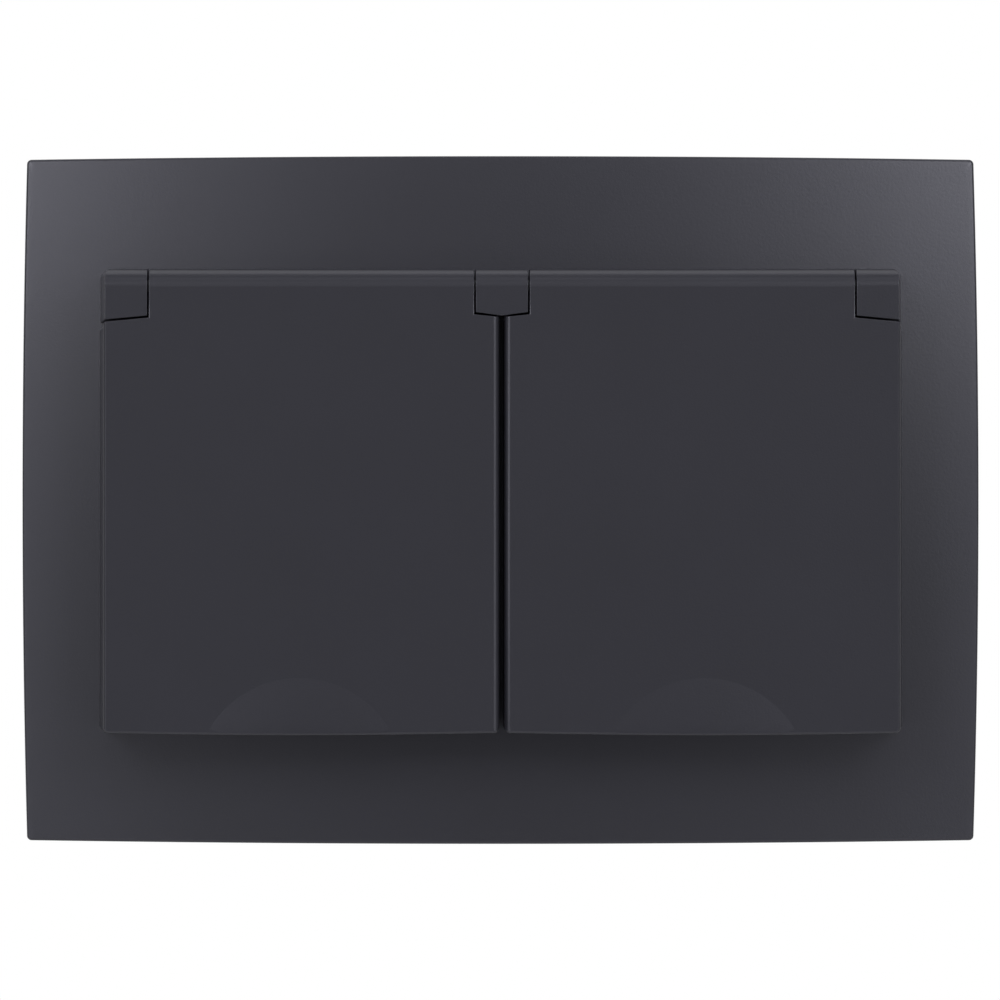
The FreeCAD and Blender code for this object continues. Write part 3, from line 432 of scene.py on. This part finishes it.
def rounded_copy(
    node: str,
    name: str,
    rounding: EdgeWidth | float,
    steps: int = 3,
    crease: float = 40.0,
    crisp: EdgeTest | None = None,
    shape: MeshChange | None = None,
) -> bpy.types.Object:
    """Copy a CAD node with its triangles joined and its sharp edges rounded.

    Args:
        node: The CAD node.
        name: The new piece's name.
        rounding: The width of the rounding, or a function that gives an edge's width.
        steps: The segments of the rounding.
        crease: The turn above which an edge stays sharp.
        crisp: A test on an edge that marks further edges sharp.
        shape: A change to the mesh before its edges are rounded.

    Returns:
        The new object.
    """
    work = bmesh.new()
    work.from_mesh(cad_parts[node].data)
    bmesh.ops.remove_doubles(work, verts=work.verts, dist=JOIN * MM)
    bmesh.ops.dissolve_limit(
        work, angle_limit=math.radians(FLAT_TURN), verts=work.verts, edges=work.edges
    )
    if shape is not None:
        shape(work)
    weight = work.edges.layers.float.new("bevel_weight_edge")
    for edge in work.edges:
        if edge.calc_face_angle(0.0) > math.radians(SHARP_TURN):
            width = rounding(edge) if callable(rounding) else rounding
            edge[weight] = width / WIDEST_ROUNDING
    mesh = bpy.data.meshes.new(name)
    work.to_mesh(mesh)
    work.free()
    piece = new_piece(name, mesh)
    bevel = piece.modifiers.new("edges", "BEVEL")
    bevel.width = WIDEST_ROUNDING * MM
    bevel.segments = steps
    bevel.limit_method = "WEIGHT"
    bevel.use_clamp_overlap = False
    weld = piece.modifiers.new("weld", "WELD")
    weld.merge_threshold = WELD * MM
    bake_modifiers(piece)
    weigh_normals(piece, crease, crisp)
    return piece


def rounded_rectangle(
    left: float,
    right: float,
    bottom: float,
    top: float,
    corner: float,
    per_side: int,
    per_corner: int,
) -> list[tuple[float, float]]:
    """Points round a rectangle with rounded corners, in the same order for every size.

    Args:
        left: The left edge.
        right: The right edge.
        bottom: The lower edge.
        top: The upper edge.
        corner: The corner radius.
        per_side: Points along each straight side.
        per_corner: Points round each corner.

    Returns:
        The points, anticlockwise from the lower left corner.
    """
    middles = [
        (left + corner, bottom + corner, 180.0),
        (right - corner, bottom + corner, 270.0),
        (right - corner, top - corner, 0.0),
        (left + corner, top - corner, 90.0),
    ]
    arcs = []
    for across, up, start in middles:
        angles = [math.radians(start + 90 * step / (per_corner - 1)) for step in range(per_corner)]
        arcs.append([(across + corner * math.cos(a), up + corner * math.sin(a)) for a in angles])
    points: list[tuple[float, float]] = []
    for place, arc in enumerate(arcs):
        points += arc
        start, end = arc[-1], arcs[(place + 1) % len(arcs)][0]
        for step in range(1, per_side):
            share = step / per_side
            points.append(
                (start[0] + (end[0] - start[0]) * share, start[1] + (end[1] - start[1]) * share)
            )
    return points


def loft(rings: Sequence[Sequence[Vector]], closed: bool) -> bpy.types.Mesh:
    """Skin a row of rings that have the same number of points.

    Args:
        rings: The rings in order, in metres.
        closed: Whether the last ring joins the first.

    Returns:
        The new mesh, with its faces pointing outwards.
    """
    work = bmesh.new()
    rows = [[work.verts.new(point) for point in ring] for ring in rings]
    last = len(rows) if closed else len(rows) - 1
    for row in range(last):
        here, there = rows[row], rows[(row + 1) % len(rows)]
        for step in range(len(here)):
            after = (step + 1) % len(here)
            work.faces.new((here[step], here[after], there[after], there[step]))
    bmesh.ops.remove_doubles(work, verts=work.verts, dist=WELD * MM)
    bmesh.ops.recalc_face_normals(work, faces=work.faces)
    mesh = bpy.data.meshes.new("loft")
    work.to_mesh(mesh)
    work.free()
    return mesh


@dataclass
class CoverFrame:
    """The crowned landscape frame with its bowed edges and the opening for the sockets."""

    half_width: float = 85.0
    half_height: float = 61.1
    side_bow: float = 0.65
    top_bow: float = 0.45
    corner: float = 0.8
    crown: float = 11.0
    radius_across: float = 860.0
    radius_upright: float = 564.0
    wall: float = 2.5
    rear: float = 1.2
    window_half_width: float = 64.5
    window_top: float = 34.0
    window_bottom: float = 35.5
    window_corner: float = 0.05
    inner_corner: float = 0.3
    rim: float = 0.45
    rim_steps: int = 6
    crease: float = 35.0
    per_side: int = 60
    per_corner: int = 7
    band: int = 22

    def face_y(self, across: float, up: float, lowered: float) -> float:
        """The crowned face's place along Y.

        Args:
            across: The place to the right of the middle.
            up: The place above the middle.
            lowered: How far the face is moved inwards.

        Returns:
            Y in millimetres, which is negative towards the room.
        """
        reach = self.radius_across - lowered
        depth = self.crown - lowered - (reach - math.sqrt(reach**2 - across**2))
        swing = self.radius_upright - self.crown
        return swing - math.sqrt((swing + depth) ** 2 - up**2)

    def contour(self, inset: float, corner: float) -> list[tuple[float, float]]:
        """Draw the frame's bowed outline.

        Args:
            inset: How far it is moved inwards.
            corner: Its corner radius.

        Returns:
            The points across and up.
        """
        across = self.half_width - self.side_bow - inset
        up = self.half_height - self.top_bow - inset
        plain = rounded_rectangle(-across, across, -up, up, corner, self.per_side, self.per_corner)
        bowed = []
        for x, z in plain:
            side = self.side_bow * (1 - (z / up) ** 2) * x / across
            level = self.top_bow * (1 - (x / across) ** 2) * z / up
            bowed.append((x + side, z + level))
        return bowed

    def window(self) -> list[tuple[float, float]]:
        """The outline of the opening."""
        return rounded_rectangle(
            -self.window_half_width,
            self.window_half_width,
            -self.window_bottom,
            self.window_top,
            self.window_corner,
            self.per_side,
            self.per_corner,
        )

    def face_rings(self, inset: float, lowered: float, corner: float) -> list[list[Vector]]:
        """Rings over a crowned face, from the outline to the opening.

        Args:
            inset: How far the outline is moved inwards.
            lowered: How far the face is moved inwards.
            corner: The outline's corner radius.

        Returns:
            The rings in metres.
        """
        outer, inner = self.contour(inset, corner), self.window()
        rings = []
        for step in range(self.band + 1):
            share = step / self.band
            ring = []
            for (x0, z0), (x1, z1) in zip(outer, inner):
                x, z = x0 + (x1 - x0) * share, z0 + (z1 - z0) * share
                ring.append(Vector((x, self.face_y(x, z, lowered), z)) * MM)
            rings.append(ring)
        return rings

    def edge_rings(self) -> list[list[Vector]]:
        """Rings from the back of the outer side over the rounded rim to the face.

        Returns:
            The rings in metres.
        """
        rings = [[Vector((x, -self.rear, z)) * MM for x, z in self.contour(0.0, self.corner)]]
        for step in range(self.rim_steps + 1):
            turn = math.radians(90 * (1 - step / self.rim_steps))
            inset = self.rim * (1 - math.sin(turn))
            sunk = self.rim * (1 - math.cos(turn))
            points = self.contour(inset, max(self.corner - inset, self.inner_corner))
            rings.append(
                [Vector((x, self.face_y(x, z, 0.0) + sunk, z)) * MM for x, z in points]
            )
        return rings

    def build(self) -> bpy.types.Object:
        """Make the frame's shell as one closed row of rings.

        Returns:
            The shell.
        """
        small = self.inner_corner
        face = self.face_rings(self.rim, 0.0, self.corner - small)
        inside = self.face_rings(self.wall, self.wall, small)
        back = [Vector((x, -self.rear, z)) * MM for x, z in self.contour(self.wall, small)]
        rings = self.edge_rings() + face[1:] + inside[::-1] + [back]
        piece = new_piece("cover_frame_shell", loft(rings, True))
        weigh_normals(piece, self.crease)
        dress(piece, LACQUER, WHOLE, ["cover_frame"])
        return piece


@dataclass
class HingeCarrier:
    """The moulding with the three hinge blocks, the rain ledge and the two collars."""

    rounding: float = 0.15

    def build(self) -> bpy.types.Object:
        """Copy the solid and round its edges.

        Returns:
            The moulding.
        """
        piece = rounded_copy("hinge_carrier", "hinge_carrier_moulding", self.rounding)
        dress(piece, LACQUER, WHOLE, ["hinge_carrier"])
        return piece


@dataclass
class SplashLid:
    """One hinged lid with its finger lip and the soft ring inside it.

    Its edges are rounded by the rounding, less above notch_low, where the hinge is, and more
    beside the other lid. The scene keeps lip_share of the finger lip's height.
    """

    side: Side
    front: float = 24.0
    inner: float = 0.45
    notch_low: float = 31.0
    rounding: float = 0.4
    notch_rounding: float = 0.15
    gap_rounding: float = 1.0
    gap_steps: int = 6
    ring_rounding: float = 0.45
    lip_share: float = 0.38
    lip_flatness: float = 0.02
    lip_turn: tuple[float, float] = (0.5, 20.0)

    def edge_rounding(self, edge: bmesh.types.BMEdge) -> float:
        """How wide an edge of the lid is rounded, from its lowest point."""
        low = min(vertex.co.z for vertex in edge.verts)
        return self.notch_rounding if low > self.notch_low * MM else self.rounding

    def shape(self, work: bmesh.types.BMesh) -> None:
        """Flatten the finger lip's dome and round the front edge beside the other lid.

        Args:
            work: The lid's mesh, which is cut along the rounding and pushed back onto it.
        """
        level = -self.front
        for vertex in work.verts:
            if vertex.co.y < level * MM:
                vertex.co.y = (level + (vertex.co.y / MM - level) * self.lip_share) * MM
        radius = self.gap_rounding
        for step in range(1, self.gap_steps + 1):
            reach = radius * (1 - math.cos(math.radians(90 * step / self.gap_steps)))
            bmesh.ops.bisect_plane(
                work,
                geom=work.verts[:] + work.edges[:] + work.faces[:],
                plane_co=(self.side.sign * (self.inner + reach) * MM, 0, 0),
                plane_no=(1, 0, 0),
            )
        for vertex in work.verts:
            reach = max(abs(vertex.co.x) / MM - self.inner, 0)
            if reach < radius:
                sunk = radius - math.sqrt(radius**2 - (radius - reach) ** 2)
                vertex.co.y = max(vertex.co.y, (level + sunk) * MM)
        bmesh.ops.remove_doubles(work, verts=work.verts, dist=JOIN * MM)

    def lip_edge(self, edge: bmesh.types.BMEdge) -> bool:
        """Whether an edge is the outline of the finger lip on the lid's flat front.

        Args:
            edge: An edge of the lid's mesh.

        Returns:
            True where both ends lie on the front and the faces turn as little as the lip's.
        """
        level, off = -self.front * MM, self.lip_flatness * MM
        if any(abs(vertex.co.y - level) > off for vertex in edge.verts):
            return False
        least, most = self.lip_turn
        return least < math.degrees(edge.calc_face_angle(0.0)) < most

    def build(self) -> list[bpy.types.Object]:
        """Make the lid's shell and its ring.

        Returns:
            The shell and the ring.
        """
        name = self.side.value + "_lid"
        shell = rounded_copy(
            name, name + "_shell", self.edge_rounding, crisp=self.lip_edge, shape=self.shape
        )
        dress(shell, LACQUER, self.side.lid_body, [name])
        ring = rounded_copy(name + "_seal", name + "_soft_ring", self.ring_rounding)
        dress(ring, RUBBER, self.side.lid_body, [name + "_seal"])
        return [shell, ring]


@dataclass
class LidSpring:
    """The closing spring: a wound coil round the pin, one leg on the lid, one on the plate.

    Depths are in front of the wall, and heights above the middle.
    """

    side: Side
    socket_x: float = SOCKET_X
    axis_depth: float = 20.8
    axis_height: float = 37.4
    coil_radius: float = 1.85
    wire_radius: float = 0.3
    length: float = 11.4
    turns: int = 14
    points_per_turn: int = 28
    wire_sides: int = 10
    lid_leg_depth: float = 21.3
    lid_leg_end: float = 30.9
    plate_leg_end: float = 12.05

    def tree(self) -> bpy.types.NodeTree:
        """Build the node tree that winds the coil and draws both legs.

        Returns:
            The tree, whose inputs carry the names that the method inputs gives.
        """
        tree = bpy.data.node_groups.new(self.side.value + "_spring_tree", "GeometryNodeTree")
        for name, kind in (
            ("Geometry", "NodeSocketGeometry"),
            ("Turns", "NodeSocketFloat"),
            ("Coil Radius", "NodeSocketFloat"),
            ("Coil Length", "NodeSocketFloat"),
            ("Wire Radius", "NodeSocketFloat"),
            ("Coil Place", "NodeSocketVector"),
            ("Lid Leg Bend", "NodeSocketVector"),
            ("Lid Leg End", "NodeSocketVector"),
            ("Plate Leg Start", "NodeSocketVector"),
            ("Plate Leg End", "NodeSocketVector"),
            ("Finish", "NodeSocketMaterial"),
        ):
            tree.interface.new_socket(name, in_out="INPUT", socket_type=kind)
        tree.interface.new_socket("Geometry", in_out="OUTPUT", socket_type="NodeSocketGeometry")
        given = add_node(tree, "NodeGroupInput").outputs
        spiral = add_node(
            tree,
            "GeometryNodeCurveSpiral",
            values={"Resolution": self.points_per_turn},
            links={
                "Rotations": given["Turns"],
                "Start Radius": given["Coil Radius"],
                "End Radius": given["Coil Radius"],
                "Height": given["Coil Length"],
            },
        )
        coil = add_node(
            tree,
            "GeometryNodeTransform",
            values={"Rotation": (0.0, math.radians(90), 0.0)},
            links={"Geometry": spiral.outputs["Curve"], "Translation": given["Coil Place"]},
        )
        drop = add_node(
            tree,
            "GeometryNodeCurvePrimitiveLine",
            links={"Start": given["Lid Leg End"], "End": given["Lid Leg Bend"]},
        )
        rest = add_node(
            tree,
            "GeometryNodeCurvePrimitiveLine",
            links={"Start": given["Plate Leg Start"], "End": given["Plate Leg End"]},
        )
        wire = add_node(tree, "GeometryNodeJoinGeometry")
        for part in (coil, drop, rest):
            tree.links.new(part.outputs[0], wire.inputs[0])
        section = add_node(
            tree,
            "GeometryNodeCurvePrimitiveCircle",
            values={"Resolution": self.wire_sides},
            links={"Radius": given["Wire Radius"]},
        )
        skin = add_node(
            tree,
            "GeometryNodeCurveToMesh",
            values={"Fill Caps": True},
            links={"Curve": wire.outputs[0], "Profile Curve": section.outputs[0]},
        )
        real = add_node(
            tree, "GeometryNodeRealizeInstances", links={"Geometry": skin.outputs[0]}
        )
        dressed = add_node(
            tree,
            "GeometryNodeSetMaterial",
            links={"Geometry": real.outputs[0], "Material": given["Finish"]},
        )
        add_node(tree, "NodeGroupOutput", links={"Geometry": dressed.outputs[0]})
        return tree

    def inputs(self) -> dict[str, Any]:
        """Work out the values of the tree's named inputs.

        Returns:
            Each input's value by name, with lengths in metres.
        """
        sign = self.side.sign
        wound = self.length - 2 * self.wire_radius
        first = self.socket_x - wound / 2
        low = self.axis_height - self.coil_radius
        near, far = (first, first + wound) if sign > 0 else (-first, -first - wound)
        start = min(near, far)
        return {
            "Turns": float(self.turns),
            "Coil Radius": self.coil_radius * MM,
            "Coil Length": wound * MM,
            "Wire Radius": self.wire_radius * MM,
            "Coil Place": Vector((start, -self.axis_depth, self.axis_height)) * MM,
            "Lid Leg Bend": Vector((near, -self.lid_leg_depth, low)) * MM,
            "Lid Leg End": Vector((near, -self.lid_leg_depth, self.lid_leg_end)) * MM,
            "Plate Leg Start": Vector((far, -self.axis_depth, low)) * MM,
            "Plate Leg End": Vector((far, -self.plate_leg_end, low)) * MM,
            "Finish": STEEL.material(),
        }

    def build(self) -> bpy.types.Object:
        """Wind the spring.

        Returns:
            The spring.
        """
        name = self.side.value + "_lid_spring"
        piece = new_piece(name + "_coil", bpy.data.meshes.new(name + "_coil"))
        modifier = piece.modifiers.new("winding", "NODES")
        modifier.node_group = self.tree()
        inputs = self.inputs()
        for item in modifier.node_group.interface.items_tree:
            if item.in_out == "INPUT" and item.name in inputs:
                modifier[item.identifier] = inputs[item.name]
        bake_modifiers(piece)
        piece.data.polygons.foreach_set("use_smooth", [True] * len(piece.data.polygons))
        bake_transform(piece)
        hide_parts(name)
        report(piece)
        return piece


@dataclass
class PlugSocket:
    """What shows under an open lid: the plug recess and its screw.

    The screw is turned from its head's flat top, screw_top behind the wall plane, over a round
    shoulder and a smaller soft edge to its tapered tip.
    """

    side: Side
    socket_x: float = SOCKET_X
    rounding: float = 0.3
    screw_top: float = 2.6
    screw_radius: float = 3.05
    screw_length: float = 8.9
    shank_radius: float = 1.5
    head_height: float = 1.4
    head_shoulder: float = 0.25
    head_edge: float = 0.07
    tip_length: float = 0.5
    tip_taper: float = 0.4
    screw_crease: float = 30.0
    cross_half: float = 0.38
    cross_reach: float = 1.9
    cross_depth: float = 0.9
    cross_draft: float = 0.72
    around: int = 48

    def cross_points(self, share: float) -> list[tuple[float, float]]:
        """Draw the outline of the cross recess.

        Args:
            share: How much of its full size it has.

        Returns:
            The points across and up.
        """
        half, reach = self.cross_half * share, self.cross_reach * share
        return [
            (half, -reach), (half, -half), (reach, -half), (reach, half),
            (half, half), (half, reach), (-half, reach), (-half, half),
            (-reach, half), (-reach, -half), (-half, -half), (-half, -reach),
        ]

    def screw(self) -> bpy.types.Object:
        """Turn the screw and press the cross into its head.

        Returns:
            The screw.
        """
        centre = self.side.sign * self.socket_x
        work = bmesh.new()

        def ring(radius: float, depth: float) -> list[bmesh.types.BMVert]:
            """A circle of vertices round the screw's axis.

            Args:
                radius: The circle's radius.
                depth: Its place along Y.

            Returns:
                The vertices.
            """
            turns = [2 * math.pi * step / self.around for step in range(self.around)]
            return [
                work.verts.new(
                    Vector((centre + radius * math.cos(a), depth, radius * math.sin(a))) * MM
                )
                for a in turns
            ]

        top, tip = self.screw_top, self.screw_top + self.screw_length
        under = top + self.head_height
        rims = [
            ring(self.screw_radius - self.head_shoulder, top),
            ring(self.screw_radius - self.head_edge, top + self.head_edge),
            ring(self.screw_radius, top + self.head_shoulder),
            ring(self.screw_radius, under),
            ring(self.shank_radius, under),
            ring(self.shank_radius, tip - self.tip_length),
            ring(self.shank_radius - self.tip_taper, tip),
        ]
        for here, there in zip(rims, rims[1:]):
            for step in range(self.around):
                after = (step + 1) % self.around
                work.faces.new((here[step], there[step], there[after], here[after]))
        work.faces.new(rims[-1])
        mouth = [
            work.verts.new(Vector((centre + x, top, z)) * MM) for x, z in self.cross_points(1.0)
        ]
        floor = [
            work.verts.new(Vector((centre + x, top + self.cross_depth, z)) * MM)
            for x, z in self.cross_points(self.cross_draft)
        ]
        count = len(mouth)
        for step in range(count):
            after = (step + 1) % count
            work.faces.new((mouth[step], mouth[after], floor[after], floor[step]))
        work.faces.new(floor)
        rim_edges = [
            work.edges.get((rims[0][step], rims[0][(step + 1) % self.around]))
            for step in range(self.around)
        ]
        cross_edges = [
            work.edges.get((mouth[step], mouth[(step + 1) % count])) for step in range(count)
        ]
        bmesh.ops.triangle_fill(work, edges=rim_edges + cross_edges, use_beauty=True)
        bmesh.ops.recalc_face_normals(work, faces=work.faces)
        mesh = bpy.data.meshes.new("screw")
        work.to_mesh(mesh)
        work.free()
        piece = new_piece(self.side.value + "_cross_screw", mesh)
        weigh_normals(piece, self.screw_crease)
        return piece

    def build(self) -> list[bpy.types.Object]:
        """Make the cup and its screw.

        Returns:
            The cup and the screw.
        """
        name = self.side.value
        cup = rounded_copy(name + "_socket_cup", name + "_plug_recess", self.rounding)
        dress(cup, CUP_PLASTIC, WHOLE, [name + "_socket_cup"])
        screw = self.screw()
        dress(screw, STEEL, WHOLE, [name + "_centre_screw"])
        return [cup, screw]


@dataclass
class HiddenParts:
    """The solids that stay as they are, each with its finish by the end of its name."""

    finishes: dict[str, MouldedPlastic | SheetMetal] = field(
        default_factory=lambda: {
            "wall_seal": RUBBER,
            "cup_seal": RUBBER,
            "hinge_pin": PIN_STEEL,
            "wire_clamps": STEEL,
            "support_ring": ZINC,
            "insert_base": PRESSED_GREY,
            "line_contact": BRASS,
            "neutral_contact": BRASS,
            "earth_bracket": BRASS,
        }
    )

    def build(self) -> None:
        """Dress every solid that has a finish here."""
        for name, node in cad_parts.items():
            for ending, finish in self.finishes.items():
                if name.endswith(ending):
                    node.data.materials.clear()
                    node.data.materials.append(finish.material())
                    report(node)


@dataclass
class Studio:
    """The pale floor, the soft lamps, the white surround and the camera.

    Lengths are in metres here. A lamp is its place, its power in watts, its width and height,
    and whether gloss shows it. The overhead lamp is in two parts, because a full one shows too
    strongly in gloss. In gloss the surround turns from plain to white over gloss_fade on either
    side of the wall's direction.
    """

    floor_level: float = -0.17
    floor_half: float = 0.5
    floor_front: float = -0.3
    floor_back: float = 0.5
    floor_colour: str = "#E6E6E4"
    ambient: float = 0.22
    gloss_fade: float = 0.3
    lamps: tuple[tuple[tuple[float, float, float], float, tuple[float, float], bool], ...] = (
        ((-0.7, -1.3, 0.62), 8.0, (0.5, 0.6), True),
        ((0.7, -1.3, 0.62), 8.2, (0.5, 0.6), True),
        ((-0.75, -1.3, 0.0), 4.2, (0.5, 1.1), True),
        ((0.75, -1.3, 0.0), 2.8, (0.5, 1.1), True),
        ((0.0, -0.35, 1.3), 10.5, (0.8, 0.8), False),
        ((0.0, -0.35, 1.3), 6.0, (1.3, 1.3), True),
    )
    camera_distance: float = 1.2
    camera_left: float = 0.017
    view_width: float = 0.17875
    film_width: float = 36.0

    def floor(self) -> bpy.types.Object:
        """Lay a level pale floor below the part.

        Returns:
            The floor.
        """
        half, near, far = self.floor_half, self.floor_front, self.floor_back
        corners = [
            (across, along, self.floor_level)
            for across, along in ((-half, near), (half, near), (half, far), (-half, far))
        ]
        mesh = bpy.data.meshes.new("floor")
        mesh.from_pydata(corners, [], [(0, 1, 2, 3)])
        material = empty_material("pale_floor")
        tree = material.node_tree
        shader = add_node(
            tree,
            "ShaderNodeBsdfPrincipled",
            values={"Base Color": linear_colour(self.floor_colour), "Roughness": 0.9},
        )
        add_node(tree, "ShaderNodeOutputMaterial", links={"Surface": shader.outputs["BSDF"]})
        mesh.materials.append(material)
        floor = new_piece("floor", mesh)
        return floor

    def surround(self) -> None:
        """A white backdrop for the eye, gloss and glass, and a plain level for the rest."""
        world = bpy.data.worlds.new("surround")
        bpy.context.scene.world = world
        world.use_nodes = True
        tree = world.node_tree
        tree.nodes.clear()
        path = add_node(tree, "ShaderNodeLightPath").outputs
        place = add_node(tree, "ShaderNodeTexCoord").outputs["Generated"]
        along = add_node(tree, "ShaderNodeSeparateXYZ", links={"Vector": place}).outputs["Y"]
        behind = add_node(
            tree,
            "ShaderNodeMapRange",
            settings={"interpolation_type": "SMOOTHSTEP"},
            values={"From Min": -self.gloss_fade, "From Max": self.gloss_fade},
            links={"Value": along},
        )
        gloss = add_node(
            tree,
            "ShaderNodeMath",
            settings={"operation": "MULTIPLY"},
            links={0: path["Is Glossy Ray"], 1: behind.outputs["Result"]},
        )
        seen = add_node(
            tree,
            "ShaderNodeMath",
            settings={"operation": "MAXIMUM"},
            links={0: path["Is Camera Ray"], 1: path["Is Transmission Ray"]},
        )
        shown = add_node(
            tree,
            "ShaderNodeMath",
            settings={"operation": "MAXIMUM"},
            links={0: seen.outputs[0], 1: gloss.outputs[0]},
        )
        plain, white = (
            add_node(
                tree,
                "ShaderNodeBackground",
                values={"Color": linear_colour("#FFFFFF"), "Strength": strength},
            )
            for strength in (self.ambient, 1.0)
        )
        mix = add_node(
            tree,
            "ShaderNodeMixShader",
            links={0: shown.outputs[0], 1: plain.outputs[0], 2: white.outputs[0]},
        )
        add_node(tree, "ShaderNodeOutputWorld", links={"Surface": mix.outputs[0]})

    def hang_lamps(self) -> None:
        """Hang the soft lamps: two on each side of the camera, and one overhead in two parts."""
        for number, (place, power, size, glossy) in enumerate(self.lamps, start=1):
            light = bpy.data.lights.new("soft_lamp_%d" % number, "AREA")
            light.energy = power
            light.shape = "RECTANGLE"
            light.size, light.size_y = size
            lamp = bpy.data.objects.new(light.name, light)
            lamp.location = place
            lamp.rotation_euler = Vector(place).to_track_quat("Z", "Y").to_euler()
            lamp.visible_glossy = glossy
            bpy.context.scene.collection.objects.link(lamp)

    def camera(self) -> None:
        """A camera straight in front, as far away as the photograph's."""
        lens = bpy.data.cameras.new("camera")
        lens.sensor_width = self.film_width
        lens.lens = self.film_width * self.camera_distance / self.view_width
        lens.shift_x = self.camera_left / self.view_width
        lens.clip_start = 0.01
        lens.clip_end = 50.0
        camera = bpy.data.objects.new("camera", lens)
        camera.location = (-self.camera_left, -self.camera_distance, 0.0)
        camera.rotation_euler = (math.radians(90), 0.0, 0.0)
        bpy.context.scene.collection.objects.link(camera)
        bpy.context.scene.camera = camera

    def build(self) -> None:
        """Set up everything round the part."""
        self.floor()
        self.surround()
        self.hang_lamps()
        self.camera()
        bpy.context.scene.view_settings.view_transform = "Standard"


def main() -> None:
    """Build the double socket from the wall outwards."""
    logging.basicConfig(level=logging.INFO, format="%(message)s")
    HiddenParts().build()
    CoverFrame().build()
    HingeCarrier().build()
    for side in Side:
        PlugSocket(side).build()
        SplashLid(side).build()
        LidSpring(side).build()
    Studio().build()


if __name__ == "__main__":
    main()
